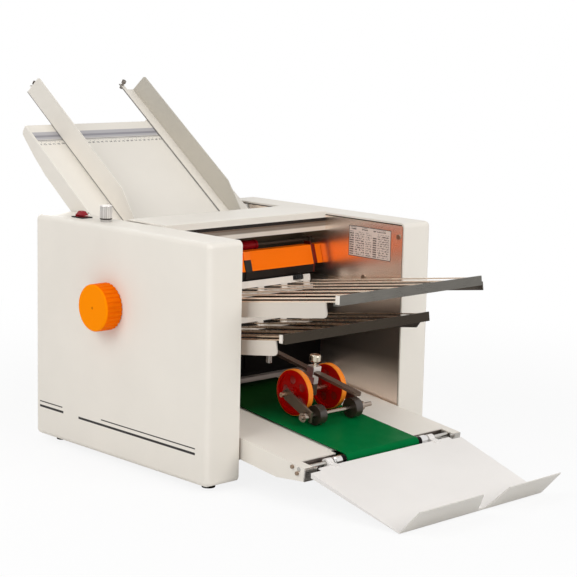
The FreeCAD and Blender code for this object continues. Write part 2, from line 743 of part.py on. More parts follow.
def right_guide():
    return tilt(side_guide(), TABLE_TILT, TABLE_ORIGIN)


def left_guide():
    return tilt(mirror_x(side_guide()), TABLE_TILT, TABLE_ORIGIN)


def separator_pad():
    """Friction pad in the chute under the feed roller, on its own spring tray."""
    gap = FEED_GAP - 1.2
    pad = box(-PAD_W / 2, PAD_W / 2, -FEED_S - PAD_L / 2, -FEED_S + PAD_L / 2, -PAD_T, gap)
    tray = box(-PAD_W / 2 - 8, PAD_W / 2 + 8, -FEED_S - PAD_L / 2, -FEED_S + PAD_L / 2,
               -PAD_T - 2, -TABLE_T)
    return tilt(join([pad, tray]), TABLE_TILT, TABLE_ORIGIN)


def feed_roller():
    """Feed shaft with its drive gear and three rubber sleeves."""
    shaft = rod_x(GEAR_X - 1, SHAFT_END - GEAR_W, FEED, FEED_SHAFT_R)
    sleeves = [rod_x(x - FEED_SLEEVE_W / 2, x + FEED_SLEEVE_W / 2, FEED, FEED_R) for x in FEED_SLEEVES]
    wheel = gear(GEAR_X, FEED, TEETH_FEED, PHASES["feed"], FEED_SHAFT_R)
    return join([shaft, wheel] + sleeves)


def feed_idler():
    """Intermediate gear that runs on a stud in the left frame plate."""
    return gear(GEAR_X, IDLER, TEETH_IDLER, PHASES["idler"], SHAFT_R + FIT)


def idler_stud():
    stud = rod_x(GEAR_X - 2, -INNER, IDLER, SHAFT_R)
    head = rod_x(GEAR_X - 5, GEAR_X - SAFE, IDLER, SHAFT_R + 4)
    return join([stud, head])


# ---- fold rollers ----
def fold_roller(centre, phase, left_end, right_end):
    face = INNER - ROLLER_END
    body = rod_x(-face, face, centre, ROLLER_R)
    groove = sleeve_x(-1.5, 1.5, centre, ROLLER_R + 1, ROLLER_R - 0.8)
    for x in (-114, -57, 57, 114):
        body = body.cut(groove.translated(V(x, 0, 0)))
    body = body.cut(groove)
    shaft = rod_x(-left_end, right_end, centre, SHAFT_R)
    wheel = gear(GEAR_X, centre, TEETH_ROLLER, phase, SHAFT_R)
    return join([body, shaft, wheel])


def fold_roller_1():
    return fold_roller(R1, PHASES["r1"], SHAFT_END, PLATE_OUT + 3)


def drive_roller():
    """Driven roller: its left journal steps down to the hand knob's shaft."""
    roller = fold_roller(R2, PHASES["r2"], SHAFT_END, PULLEY_X + PULLEY_W + 2)
    stub = rod_x(-(OUTER + KNOB_DEPTH - 6), -SHAFT_END + 1, R2, KNOB_SHAFT_R)
    return join([roller, stub, drive_pulley()])


def fold_roller_3():
    return fold_roller(R3, PHASES["r3"], SHAFT_END, PLATE_OUT + 3)


def fold_roller_4():
    """Fourth roller, with the small pulley that drives the delivery belt."""
    roller = fold_roller(R4, PHASES["r4"], SHAFT_END, OUT_PULLEY_X + PULLEY_W + 2)
    return join([roller, pulley(OUT_PULLEY_X, R4, OUT_PULLEY_R, SHAFT_R)])


def fold_roller_5():
    return fold_roller(R5, PHASES["r5"], SHAFT_END, PLATE_OUT + 3)


def deflector(centre, start, end, gap):
    """Curved guide that keeps the sheet on a roller's rear side."""
    r0 = ROLLER_R + gap
    r1 = r0 + 1.5
    arc = sleeve_x(-GUARD_HALF, GUARD_HALF, centre, r1, r0)
    reach = 3 * ROLLER_R
    a0 = math.radians(start)
    a1 = math.radians(end)
    mid = (a0 + a1) / 2
    wedge = [centre]
    for a in (a0, mid, a1):
        wedge.append((centre[0] + reach * math.cos(a), centre[1] + reach * math.sin(a)))
    cut = arc.common(prism_x(wedge, -GUARD_HALF - 1, GUARD_HALF + 1))
    rim = box(GUARD_HALF, INNER, centre[0] + r0, centre[0] + r1 + 6, centre[1] - 5, centre[1] + 5)
    link = box(GUARD_HALF - 6, GUARD_HALF, centre[0] + r0 + 0.5, centre[0] + r1 + 6,
               centre[1] - 5, centre[1] + 5)
    tab = join([rim, link])
    return join([cut, tab, mirror_x(tab)])


def sheet_deflectors():
    upper = deflector(R3, -48, 42, 2.5)
    lower = deflector(R5, -75, 40, 2.5)
    return group([upper, lower])


# ---- pulleys, belts, motor ----
def pulley(x0, centre, r, bore):
    body = rod_x(x0, x0 + PULLEY_W, centre, r)
    rims = [rod_x(x0, x0 + 1.2, centre, r + PULLEY_FLANGE),
            rod_x(x0 + PULLEY_W - 1.2, x0 + PULLEY_W, centre, r + PULLEY_FLANGE)]
    return join([body] + rims).cut(rod_x(x0 - 1, x0 + PULLEY_W + 1, centre, bore))


def drive_pulley():
    wheel = pulley(PULLEY_X, R2, DRIVE_PULLEY_R, SHAFT_R)
    for k in range(5):
        a = math.radians(36 + 72 * k)
        r = 0.56 * DRIVE_PULLEY_R
        hole = (R2[0] + r * math.cos(a), R2[1] + r * math.sin(a))
        wheel = wheel.cut(rod_x(PULLEY_X - 1, PULLEY_X + PULLEY_W + 1, hole, 0.2 * DRIVE_PULLEY_R))
    return wheel


def open_belt(x0, width, p, rp, q, rq, thickness):
    """Flat belt round two circles p and q: tangent runs and two arcs."""
    def racetrack(extra, x, w):
        a = rp + extra
        b = rq + extra
        dy = q[0] - p[0]
        dz = q[1] - p[1]
        d = math.hypot(dy, dz)
        base = math.atan2(dz, dy)
        spread = math.acos((a - b) / d)
        def at(c, r, ang):
            return V(x, c[0] + r * math.cos(ang), c[1] + r * math.sin(ang))
        u = base + spread
        v = base - spread
        arc_p = Part.Arc(at(p, a, u), at(p, a, base + math.pi), at(p, a, v)).toShape()
        low = Part.LineSegment(at(p, a, v), at(q, b, v)).toShape()
        arc_q = Part.Arc(at(q, b, v), at(q, b, base), at(q, b, u)).toShape()
        high = Part.LineSegment(at(q, b, u), at(p, a, u)).toShape()
        return Part.Face(Part.Wire([arc_p, low, arc_q, high])).extrude(V(w, 0, 0))
    return racetrack(thickness, x0, width).cut(racetrack(0, x0 - 1, width + 2))


def timing_belts():
    off = (PULLEY_W - TIMING_W) / 2
    g = TIMING_GAP
    drive = open_belt(PULLEY_X + off, TIMING_W, (MOTOR_Y, MOTOR_Z), MOTOR_PULLEY_R + g, R2,
                      DRIVE_PULLEY_R + g, TIMING_T)
    out = open_belt(OUT_PULLEY_X + off, TIMING_W, R4, OUT_PULLEY_R + g, BELT_REAR_AXIS,
                    BELT_PULLEY_R + g, TIMING_T)
    return group([drive, out])


def drive_motor():
    """Motor can bolted to the right frame plate, with a ribbed jacket and a foot."""
    c = (MOTOR_Y, MOTOR_Z)
    can = rod_x(INNER - MOTOR_LEN, INNER, c, MOTOR_R)
    ribs = [sleeve_x(INNER - 30 - 12 * k, INNER - 26 - 12 * k, c, MOTOR_R + 3, MOTOR_R - 1) for k in range(5)]
    pan = BASE_Z + PAN_RISE + PAN_T
    foot = box(INNER - 80, INNER - 20, MOTOR_Y - 24, MOTOR_Y + 24, pan, MOTOR_Z - MOTOR_R + 4)
    body = join([can, foot] + ribs)
    return body.cut(rod_x(INNER - MOTOR_LEN + 10, INNER + 1, c, MOTOR_SHAFT_R + FIT))


def motor_rotor():
    c = (MOTOR_Y, MOTOR_Z)
    shaft = rod_x(INNER - MOTOR_LEN + 12, PULLEY_X + PULLEY_W + 2, c, MOTOR_SHAFT_R)
    return join([shaft, pulley(PULLEY_X, c, MOTOR_PULLEY_R, MOTOR_SHAFT_R)])


# ---- fold plates ----
def strip_places():
    pitch = 2 * COMB_HALF / (whole(STRIPS) - 1)
    inset = STRIP_W / 2
    places = []
    for k in range(whole(STRIPS)):
        x = -COMB_HALF + k * pitch
        x = min(max(x, -COMB_HALF + inset), COMB_HALF - inset)
        places.append(x)
    return places


def comb_strips(length):
    """Lower and upper layer of flat strips, with the paper gap between them."""
    strips = []
    g = COMB_GAP / 2
    for x in strip_places():
        for z0 in (-g - STRIP_T, g):
            strips.append(box(x - STRIP_W / 2, x + STRIP_W / 2, -length, 0, z0, z0 + STRIP_T))
    return group(strips)


def comb_side(length, height, rake):
    """Right-hand side rail, its front end raked back towards its lower edge, and spacers."""
    g = COMB_GAP / 2 + STRIP_T
    rail = prism_x([(0, -g), (0, -g - height), (rake - length, -g - height), (-length, -g)],
                   COMB_HALF - SIDE_T, COMB_HALF)
    spacers = []
    for y in SPACER_PLACES:
        centre = V(COMB_HALF, y, -g - SPACER_R - 1)
        spacers.append(Part.makeCylinder(SPACER_R, INNER - COMB_HALF, centre, X_AXIS))
    return join([rail] + spacers)


def comb_frame(left_length, right_length, right_height, rake):
    """Side rails and the cross bar under the mouth."""
    g = COMB_GAP / 2 + STRIP_T
    left = mirror_x(comb_side(left_length, SIDE_H, 0))
    front = 1 - left_length
    corner = lambda e: runs_along(e, X_AXIS) and e.CenterOfMass.y < front and e.CenterOfMass.z < -g - 1
    left = round_edges(left, SIDE_CORNER_R, corner)
    right = comb_side(right_length, right_height, rake)
    low = box(-COMB_HALF + SIDE_T, COMB_HALF - SIDE_T, -MOUTH_T - 4, -4, -g - 8, -g)
    return join([left, right, low])


def comb_bar(length, right_end):
    """Steel front bar: an upright face with a short flange under the strips."""
    g = COMB_GAP / 2 + STRIP_T
    face = box(-COMB_HALF, right_end, -length - BAR_T, -length, -BAR_DROP, BAR_H - BAR_DROP)
    flange = box(-COMB_HALF, right_end, -length, -length + BAR_FLANGE, -BAR_DROP, -g)
    return join([face, flange])


def comb_stop():
    """Paper stop: a white bar over the strips, fingers between them, a knob seat."""
    g = COMB_GAP / 2 + STRIP_T + SAFE
    bar = box(-STOP_HALF, STOP_HALF, -STOP_T / 2, STOP_T / 2, g, g + STOP_H)
    seat = box(STOP_KNOB_X - STOP_KNOB_R - 2, STOP_KNOB_X + STOP_KNOB_R + 2, -STOP_T, STOP_T,
               g + STOP_SEAT, g + STOP_H + 1)
    fingers = []
    places = strip_places()
    for a, b in zip(places[:-1], places[1:]):
        mid = (a + b) / 2
        fingers.append(box(mid - FINGER_W / 2, mid + FINGER_W / 2, -1.5, 1.5, -g - 3, g + 1))
    stop = join([bar.cut(seat)] + fingers)
    return stop.cut(rod_z(STOP_KNOB_X, 0, g - 1, g + STOP_SEAT + 1, STOP_SCREW_R + FIT))


def stop_knob():
    """Round clamp knob of a paper stop, with its screw in the stop's seat."""
    g = COMB_GAP / 2 + STRIP_T + SAFE
    base = g + STOP_SEAT + SAFE
    screw = rod_z(STOP_KNOB_X, 0, g + 0.2, base + 1, STOP_SCREW_R)
    head = rod_z(STOP_KNOB_X, 0, base, base + STOP_KNOB_H, STOP_KNOB_R)
    return fluted(join([screw, head]), STOP_KNOB_X, 0, base - 1, STOP_KNOB_H + 2, STOP_KNOB_R, 16, 1.2)


UPPER_ORIGIN = (COMB_MOUTH_Y, UPPER_Z)
LOWER_ORIGIN = (COMB_MOUTH_Y, LOWER_Z)


def on_comb(shape, origin, s):
    return tilt(shape.translated(V(0, s, 0)), -COMB_TILT, origin)


# ---- knobs ----
def fluted(shape, x, y, z0, height, r, count, flute_r):
    """Cut grip flutes along Z round a knob."""
    count = whole(count)
    for k in range(count):
        a = 2 * math.pi * k / count
        shape = shape.cut(rod_z(x + (r + flute_r * 0.45) * math.cos(a),
                                y + (r + flute_r * 0.45) * math.sin(a), z0, z0 + height, flute_r))
    return shape


def hand_knob():
    """Large fluted knob, hollow at the back, on the driven roller's shaft."""
    knob = rod_z(0, 0, 0, KNOB_DEPTH, KNOB_R)
    knob = round_edges(knob, 4.0, lambda e: abs(e.CenterOfMass.z - KNOB_DEPTH) < 0.01)
    knob = fluted(knob, 0, 0, -1, KNOB_DEPTH - 3, KNOB_R, KNOB_FLUTES, KNOB_FLUTE_R)
    hollow = rod_z(0, 0, -1, KNOB_DEPTH - 6, KNOB_R - 5).cut(rod_z(0, 0, -2, KNOB_DEPTH, KNOB_SHAFT_R + 5))
    knob = knob.cut(hollow).cut(rod_z(0, 0, -1, KNOB_DEPTH - 4, KNOB_SHAFT_R))
    knob.rotate(ORIGIN, Y_AXIS, -90)
    knob.translate(V(-OUTER - KNOB_GAP, R2[0], R2[1]))
    return knob


def speed_knob():
    """Fluted speed control knob with a collar, on a short spindle."""
    x = -TOP_CONTROL_X
    z = TOP_Z + COLLAR_H + SAFE
    knob = rod_z(x, SPEED_Y, z, z + SPEED_H, SPEED_R)
    knob = round_edges(knob, 1.5, lambda e: e.CenterOfMass.z > z + SPEED_H - 0.01)
    knob = fluted(knob, x, SPEED_Y, z - 1, SPEED_H - 1, SPEED_R, SPEED_FLUTES, SPEED_FLUTE_R)
    spindle = rod_z(x, SPEED_Y, TOP_Z - 14, z + 1, SCREW_R)
    return join([knob, spindle])


def speed_collar():
    x = -TOP_CONTROL_X
    ring = rod_z(x, SPEED_Y, TOP_Z, TOP_Z + COLLAR_H, SPEED_R - 1)
    return ring.cut(rod_z(x, SPEED_Y, TOP_Z - 1, TOP_Z + COLLAR_H + 1, SCREW_R + FIT))


def switch_bezel():
    """Flanged frame of the rocker switch with its body under the housing's top."""
    x = -TOP_CONTROL_X
    w = SWITCH_W / 2
    l = SWITCH_L / 2
    r = BEZEL_RIM
    rim = box(x - w, x + w, SWITCH_Y - l, SWITCH_Y + l, TOP_Z, TOP_Z + BEZEL_H)
    body = box(x - w + r, x + w - r, SWITCH_Y - l + r, SWITCH_Y + l - r, TOP_Z - 18, TOP_Z)
    well = box(x - w + r + 1.5, x + w - r - 1.5, SWITCH_Y - l + r + 1.5, SWITCH_Y + l - r - 1.5,
               TOP_Z - 10, TOP_Z + BEZEL_H + 1)
    pin = Part.makeCylinder(ROCKER_PIN_R, SWITCH_W - 2 * r - 1, V(x - w + r + 0.5, SWITCH_Y, TOP_Z - 2), X_AXIS)
    return join([join([rim, body]).cut(well), pin])


def power_rocker():
    """Rocker cap with two sloping halves on its cross pin."""
    x = -TOP_CONTROL_X
    w = SWITCH_W / 2 - BEZEL_RIM - 1.5 - SAFE
    l = SWITCH_L / 2 - BEZEL_RIM - 1.5 - 1.0
    z = TOP_Z
    cap = prism_x([(SWITCH_Y - l, z - 1), (SWITCH_Y - l + 1, z + ROCKER_RISE - 3), (SWITCH_Y, z + 2.5),
                   (SWITCH_Y + l - 1, z + ROCKER_RISE), (SWITCH_Y + l, z - 1), (SWITCH_Y + 4, z - 5),
                   (SWITCH_Y - 4, z - 5)], x - w, x + w)
    return cap.cut(rod_x(x - w - 1, x + w + 1, (SWITCH_Y, z - 2), ROCKER_PIN_R + FIT))


# ---- delivery deck ----
def delivery_deck():
    """Folded deck: top sheet, tapering side walls and a notch for the belt roller."""
    t = DECK_T
    top = box(-DECK_HALF, DECK_HALF, 0, DECK_LEN, -t, 0)
    wall = prism_x([(0, 0), (0, -DECK_WALL_FRONT), (DECK_TAPER, -DECK_WALL), (DECK_LEN, -DECK_WALL),
                    (DECK_LEN, 0)], DECK_HALF - t, DECK_HALF)
    deck = join([top, wall, mirror_x(wall)])
    notch = box(-NOTCH_HALF, NOTCH_HALF, -1, NOTCH_LEN, -DECK_WALL, 1)
    half = BELT_HALF + 5
    channel = box(-half, half, NOTCH_LEN - 1, NOTCH_LEN + 12, -t - 1, 1)
    rear = box(-half, half, DECK_LEN - 40, DECK_LEN + 1, -t - 1, 1)
    rod_hole = Part.makeCylinder(ROD_R, 2 * DECK_HALF + 2, V(-DECK_HALF - 1, BELT_FRONT, BELT_AXIS_N), X_AXIS)
    start = V(-DECK_HALF - 1, BELT_REAR, BELT_AXIS_N)
    rear_hole = Part.makeCylinder(SHAFT_R + 2, 2 * DECK_HALF + 2, start, X_AXIS)
    deck = deck.cut(notch).cut(channel).cut(rear).cut(rod_hole).cut(rear_hole)
    return tilt(deck, DECK_TILT, DECK_ORIGIN)


def deck_ends():
    """Steel angle plates at the deck's two front corners."""
    t = END_PLATE_T
    face = box(END_FACE_X, DECK_HALF, -t, 0, -DECK_WALL_FRONT, -0.5)
    leg = box(DECK_HALF - DECK_T - t, DECK_HALF - DECK_T, -t, 20, -DECK_WALL_FRONT, -DECK_T)
    leg = leg.cut(Part.makeCylinder(ROD_R, 3 * t, V(DECK_HALF - 3 * t, BELT_FRONT, BELT_AXIS_N), X_AXIS))
    return tilt(both_sides(join([face, leg])), DECK_TILT, DECK_ORIGIN)


def belt_rod():
    """Fixed rod across the deck's front: the belt roller and the tray hang on it."""
    rod = Part.makeCylinder(ROD_R, 2 * DECK_HALF, V(-DECK_HALF, BELT_FRONT, BELT_AXIS_N), X_AXIS)
    return tilt(rod, DECK_TILT, DECK_ORIGIN)


def belt_front_roller():
    """Idler roller with bare steel ends on the fixed rod."""
    roll = Part.makeCylinder(BELT_R - 0.1, 2 * ROLLER_HALF, V(-ROLLER_HALF, BELT_FRONT, BELT_AXIS_N), X_AXIS)
    bore = Part.makeCylinder(ROD_R + FIT, 2 * DECK_HALF, V(-DECK_HALF, BELT_FRONT, BELT_AXIS_N), X_AXIS)
    roll = roll.cut(bore)
    for x in (-ROLLER_HALF, ROLLER_HALF - 4):
        ring = Part.makeCylinder(BELT_R + 1, 4, V(x, BELT_FRONT, BELT_AXIS_N), X_AXIS)
        ring = ring.cut(Part.makeCylinder(BELT_R - 1.5, 4, V(x, BELT_FRONT, BELT_AXIS_N), X_AXIS))
        roll = roll.cut(ring)
    return tilt(roll, DECK_TILT, DECK_ORIGIN)


def belt_drive_roller():
    """Rear roller under the delivery belt with its journals and drive pulley."""
    roll = rod_x(-BELT_HALF - 3, BELT_HALF + 3, BELT_REAR_AXIS, BELT_R - 0.1)
    shaft = rod_x(-PLATE_OUT - 2, OUT_PULLEY_X + PULLEY_W + 2, BELT_REAR_AXIS, SHAFT_R)
    wheel = pulley(OUT_PULLEY_X, BELT_REAR_AXIS, BELT_PULLEY_R, SHAFT_R)
    return join([roll, shaft, wheel])


def delivery_belt():
    r = BELT_R + 0.2
    return open_belt(-BELT_HALF, 2 * BELT_HALF, BELT_FRONT_AXIS, r, BELT_REAR_AXIS, r, BELT_T - 0.2)


def tray_flanges(rear, fold):
    """Turned-down sides of the tray, running out to nothing at its fold."""
    t = TRAY_T
    under = prism_x([rear, (rear[0], rear[1] - TRAY_FLANGE), fold], -TRAY_HALF_REAR, TRAY_HALF_REAR)
    inside = prism_z([(t - TRAY_HALF_REAR, rear[0] + 1), (TRAY_HALF_REAR - t, rear[0] + 1),
                      (TRAY_HALF_FRONT - t, fold[0] - 1), (t - TRAY_HALF_FRONT, fold[0] - 1)], -10, rear[1] + 10)
    return under.cut(inside)


def catch_tray():
    """Bent sheet that hangs on the rod by two hooks and rests its fold on the table."""
    axis = BELT_FRONT_AXIS
    t = TRAY_T
    rear = (DECK_FRONT_Y - TRAY_REAR_GAP, axis[1] - 1.5)
    fold = (TRAY_FOLD_Y, TRAY_CLEAR)
    a = math.radians(LIP_ANGLE)
    tip = (fold[0] - LIP_LEN * math.cos(a), fold[1] + LIP_LEN * math.sin(a))
    slope = math.atan2(rear[1] - fold[1], rear[0] - fold[0])
    up = (-t * math.sin(slope), t * math.cos(slope))
    out = (t * math.sin(a), t * math.cos(a))
    knee = (fold[0] + t * math.tan((slope + a) / 2) * 0.5, fold[1] + t)
    profile = [rear, fold, tip, (tip[0] + out[0], tip[1] + out[1]), knee, (rear[0] + up[0], rear[1] + up[1])]
    sheet = prism_x(profile, -TRAY_HALF_REAR, TRAY_HALF_REAR)
    sheet = join([sheet, tray_flanges(rear, fold)])
    flare = TRAY_HALF_REAR - TRAY_HALF_FRONT
    run = rear[0] - fold[0]
    for s in (-1, 1):
        wedge = prism_z([(s * TRAY_HALF_REAR, rear[0]), (s * (TRAY_HALF_REAR + 9), rear[0]),
                         (s * (TRAY_HALF_REAR + 9), fold[0] - LIP_LEN),
                         (s * (TRAY_HALF_FRONT - flare * LIP_LEN / run), fold[0] - LIP_LEN)],
                        -5, axis[1] + 20)
        sheet = sheet.cut(wedge)
        edges = sorted((s * (END_FACE_X - 3), s * (TRAY_HALF_REAR + 20)))
        corner = box(edges[0], edges[1], rear[0] - TRAY_CORNER, rear[0] + 1, 0, axis[1] + 20)
        sheet = sheet.cut(corner)
    low = fold[0] - 3.0
    notch = prism_z([(NOTCH_BOTTOM[0], low), (NOTCH_BOTTOM[1], low), (NOTCH_TOP[1], tip[0] - 1),
                     (NOTCH_TOP[0], tip[0] - 1)], -1, tip[1] + 10)
    sheet = sheet.cut(notch)
    hooks = []
    r0 = ROD_R + SAFE
    for x in (-HOOK_X, HOOK_X):
        ring = sleeve_x(x - HOOK_W / 2, x + HOOK_W / 2, axis, r0 + HOOK_T, r0)
        mouth = box(x - HOOK_W, x + HOOK_W, axis[0] + r0 * 0.35, axis[0] + 20, axis[1] - 20, axis[1] + r0 * 0.6)
        tongue = prism_x([(rear[0] - 8, rear[1] - 1.6), (rear[0] - 8, rear[1] + 1.0),
                          (axis[0] - r0 - 0.3, axis[1] + 2), (axis[0] - r0 - 0.3, axis[1] - 2)],
                         x - HOOK_W / 2, x + HOOK_W / 2)
        hooks.append(join([ring.cut(mouth), tongue]))
    return join([sheet] + hooks)


def exit_panel():
    """Black panel behind the belt: slanted foot, ears, and the bracket of the flat bar."""
    y = PANEL_Y
    t = PANEL_T
    face = box(-INNER + 1, INNER - 1, y, y + t, PANEL_Z0 + 12, PANEL_Z1)
    foot = prism_x([(y, PANEL_Z0 + 12), (y - 12, PANEL_Z0), (y - 12 + t, PANEL_Z0), (y + t, PANEL_Z0 + 12)],
                   -INNER + 1, INNER - 1)
    ear = box(INNER - 14, INNER, y + t - 0.01, y + t + 3, PANEL_Z0 + 30, PANEL_Z0 + 50)
    return join([face, foot, ear, mirror_x(ear), bar_bracket()])


def bar_bracket():
    """Bent bracket from the panel to the flat bar's turned-down end."""
    x0 = CARRIAGE_X - BRACKET_W / 2
    x1 = CARRIAGE_X + BRACKET_W / 2
    z = BAR_LEVEL_Z - BAR_THICK / 2 - LUG_H
    t = BRACKET_T
    foot = box(x0, x1, PANEL_Y - t, PANEL_Y, z - BRACKET_H, z + t)
    shelf = box(x0, x1, BAR_END_Y, PANEL_Y, z, z + t)
    up = box(x0, x1, BAR_END_Y, BAR_END_Y + t, z, z + BRACKET_UP)
    return join([foot, shelf, up])


def fasteners():
    """Bolts of the deck's walls and screw heads on the frame plates' inner faces."""
    heads = []
    for place in ((13 - HALF_DEPTH, TOP_Z - 25), (COMB_MOUTH_Y - 108, UPPER_Z + 20)):
        heads.append(rod_x(INNER - 1.6, INNER, place, 4.5))
    spacers = []
    for s in (DECK_LEN / 3, 2 * DECK_LEN / 3, DECK_LEN - 60):
        pin = Part.makeCylinder(5.0, INNER - DECK_HALF, V(DECK_HALF, s, -DECK_WALL / 2), X_AXIS)
        inside = on_slope(DECK_ORIGIN, DECK_TILT, s, -DECK_WALL / 2)
        if inside[0] > 12 - HALF_DEPTH:
            spacers.append(pin)
    bolts = []
    for s, n in ((BELT_FRONT + 2, BELT_AXIS_N - 7), (BELT_FRONT + 14, BELT_AXIS_N)):
        bolts.append(Part.makeCylinder(3.2, 3.0, V(DECK_HALF, s, n), X_AXIS))
    on_deck = tilt(both_sides(group(spacers + bolts)), DECK_TILT, DECK_ORIGIN)
    return group([both_sides(group(heads)), on_deck])


# ---- wheel carriage ----
def carriage_rod():
    """Flat bar over the belt: it climbs to the rear, turns level and ends in a lug."""
    x0 = CARRIAGE_X - BAR_W / 2
    x1 = CARRIAGE_X + BAR_W / 2
    half = BAR_THICK / 2
    run = (BAR_LEVEL_Y - BAR_MID[0]) / math.cos(math.radians(BAR_TILT))
    slope = box(x0, x1, -BAR_AHEAD, run + 0.4, -half, half)
    slope = round_edges(slope, BAR_W / 2 - 0.1, lambda e: runs_along(e, Z_AXIS) and e.CenterOfMass.y < 0)
    level = box(x0, x1, BAR_LEVEL_Y, BAR_END_Y, BAR_LEVEL_Z - half, BAR_LEVEL_Z + half)
    lug = box(x0 + 1, x1 - 1, BAR_END_Y - LUG_T, BAR_END_Y, BAR_LEVEL_Z - half - LUG_H, BAR_LEVEL_Z)
    whole_bar = join([tilt(slope, BAR_TILT, BAR_MID), level, lug])
    return whole_bar.cut(rod_z(CARRIAGE_X, THUMB_Y, BAR_LEVEL_Z - 9, BAR_LEVEL_Z + 9, SCREW_R + FIT))


def bar_screw():
    """Long thumb screw that hangs under the bar's level end."""
    x = CARRIAGE_X
    y = THUMB_Y
    top = BAR_LEVEL_Z - BAR_THICK / 2
    high = top - THUMB_NECK
    screw = rod_z(x, y, high - 1, top + BAR_THICK + 1.5, SCREW_R)
    head = rod_z(x, y, high - THUMB_H, high, THUMB_R)
    head = fluted(head, x, y, high - THUMB_H - 1, THUMB_H + 2, THUMB_R, 12, 0.9)
    neck = rod_z(x, y, high - 0.01, top - SAFE, THUMB_R - 2)
    return join([screw, head, neck])


def carriage_post():
    """Clamp block on the bar, its slot along the bar, with a post down to the axle."""
    x = CARRIAGE_X
    w = POST_W / 2
    top = BAR_HIGH + CLAMP_CAP
    block = box(x - w, x + w, AXLE_S - POST_T / 2, AXLE_S + POST_T / 2, BAR_LOW - 5, top)
    post = box(x - 5, x + 5, AXLE_S - POST_T / 2, AXLE_S + POST_T / 2, AXLE_N - 9, BAR_LOW - 4)
    body = join([block, post]).cut(rod_z(x, AXLE_S, BAR_HIGH, top + 1, SCREW_R + FIT))
    axle = Part.makeCylinder(AXLE_R, POST_W, V(x - w, AXLE_S, AXLE_N), X_AXIS)
    side = BAR_W / 2 + SAFE
    high = BAR_THICK / 2 + SAFE
    slot = tilt(box(x - side, x + side, -POST_T, POST_T, -high, high), BAR_TILT, BAR_MID)
    return tilt(body.cut(axle), DECK_TILT, DECK_ORIGIN).cut(slot)


def clamp_knob():
    """Round clamp knob on top of the carriage block."""
    x = CARRIAGE_X
    base = BAR_HIGH + CLAMP_CAP + CLAMP_NECK
    screw = rod_z(x, AXLE_S, BAR_HIGH + 2 * SAFE, base + 1, SCREW_R)
    head = rod_z(x, AXLE_S, base, base + CLAMP_KNOB_H, CLAMP_KNOB_R)
    head = round_edges(head, 3.0, lambda e: len(e.Vertexes) == 1)
    return tilt(join([screw, head]), DECK_TILT, DECK_ORIGIN)


def carriage_arms():
    """Two flat arms from the axle down to the pressing shaft."""
    arms = []
    for side in (-1, 1):
        x = CARRIAGE_X + side * ARM_SPREAD
        half = ARM_W / 2
        blank = prism_x([(AXLE_S + half, AXLE_N), (AXLE_S, AXLE_N + half), (PRESS_S - half, PRESS_N + half),
                         (PRESS_S - half, PRESS_N - half + 2), (AXLE_S, AXLE_N - half)],
                        x - ARM_T / 2, x + ARM_T / 2)
        for s, n, r in ((AXLE_S, AXLE_N, AXLE_R), (PRESS_S, PRESS_N, PRESS_SHAFT_R + FIT)):
            blank = blank.cut(Part.makeCylinder(r, ARM_T + 2, V(x - ARM_T / 2 - 1, s, n), X_AXIS))
        arms.append(blank)
    return tilt(group(arms), DECK_TILT, DECK_ORIGIN)


def carriage_axle():
    half = ARM_SPREAD + 12
    axle = Part.makeCylinder(AXLE_R, 2 * half, V(CARRIAGE_X - half, AXLE_S, AXLE_N), X_AXIS)
    return tilt(axle, DECK_TILT, DECK_ORIGIN)


def carriage_wheel(side):
    """Dished wheel: tread ring, thin web with round holes and a hub."""
    x0 = CARRIAGE_X + side * WHEEL_SPREAD - WHEEL_W / 2
    wheel = Part.makeCylinder(WHEEL_R, WHEEL_W, V(x0, 0, 0), X_AXIS)
    wheel = round_edges(wheel, 1.5, lambda e: len(e.Vertexes) == 1)
    inner_r = WHEEL_R - WHEEL_RIM
    depth = (WHEEL_W - WHEEL_WEB) / 2
    for start in (x0 - 1, x0 + WHEEL_W - depth):
        dish = Part.makeCylinder(inner_r, depth + 1, V(start, 0, 0), X_AXIS)
        dish = dish.cut(Part.makeCylinder(WHEEL_HUB_R, depth + 1, V(start, 0, 0), X_AXIS))
        wheel = wheel.cut(dish)
    mid = (inner_r + WHEEL_HUB_R) / 2
    holes = whole(WHEEL_HOLES)
    for k in range(holes):
        a = 2 * math.pi * k / holes
        hole = Part.makeCylinder(WHEEL_HOLE_R, WHEEL_W, V(x0, mid * math.cos(a), mid * math.sin(a)), X_AXIS)
        wheel = wheel.cut(hole)
    wheel = wheel.cut(Part.makeCylinder(AXLE_R + FIT, WHEEL_W + 2, V(x0 - 1, 0, 0), X_AXIS))
    return tilt(wheel.translated(V(0, AXLE_S, AXLE_N)), DECK_TILT, DECK_ORIGIN)


def press_shaft():
    """Steel pressing shaft with its two collars outside the arms."""
    x0, x1 = PRESS_SHAFT_ENDS
    shaft = Part.makeCylinder(PRESS_SHAFT_R, x1 - x0, V(CARRIAGE_X + x0, PRESS_S, PRESS_N), X_AXIS)
    collars = []
    x = ARM_SPREAD + ARM_T / 2 + SAFE
    for x0 in (CARRIAGE_X + x, CARRIAGE_X - x - COLLAR_W):
        collars.append(Part.makeCylinder(COLLAR_R, COLLAR_W, V(x0, PRESS_S, PRESS_N), X_AXIS))
    return tilt(join([shaft] + collars), DECK_TILT, DECK_ORIGIN)


def press_rollers():
    """Two rubber rollers on the pressing shaft that hold sheets on the belt."""
    rolls = []
    for side in (-1, 1):
        x0 = CARRIAGE_X + PRESS_SHIFT + side * PRESS_SPREAD - PRESS_W / 2
        roll = Part.makeCylinder(PRESS_R, PRESS_W, V(x0, PRESS_S, PRESS_N), X_AXIS)
        rolls.append(roll.cut(Part.makeCylinder(PRESS_SHAFT_R, PRESS_W, V(x0, PRESS_S, PRESS_N), X_AXIS)))
    return tilt(group(rolls), DECK_TILT, DECK_ORIGIN)


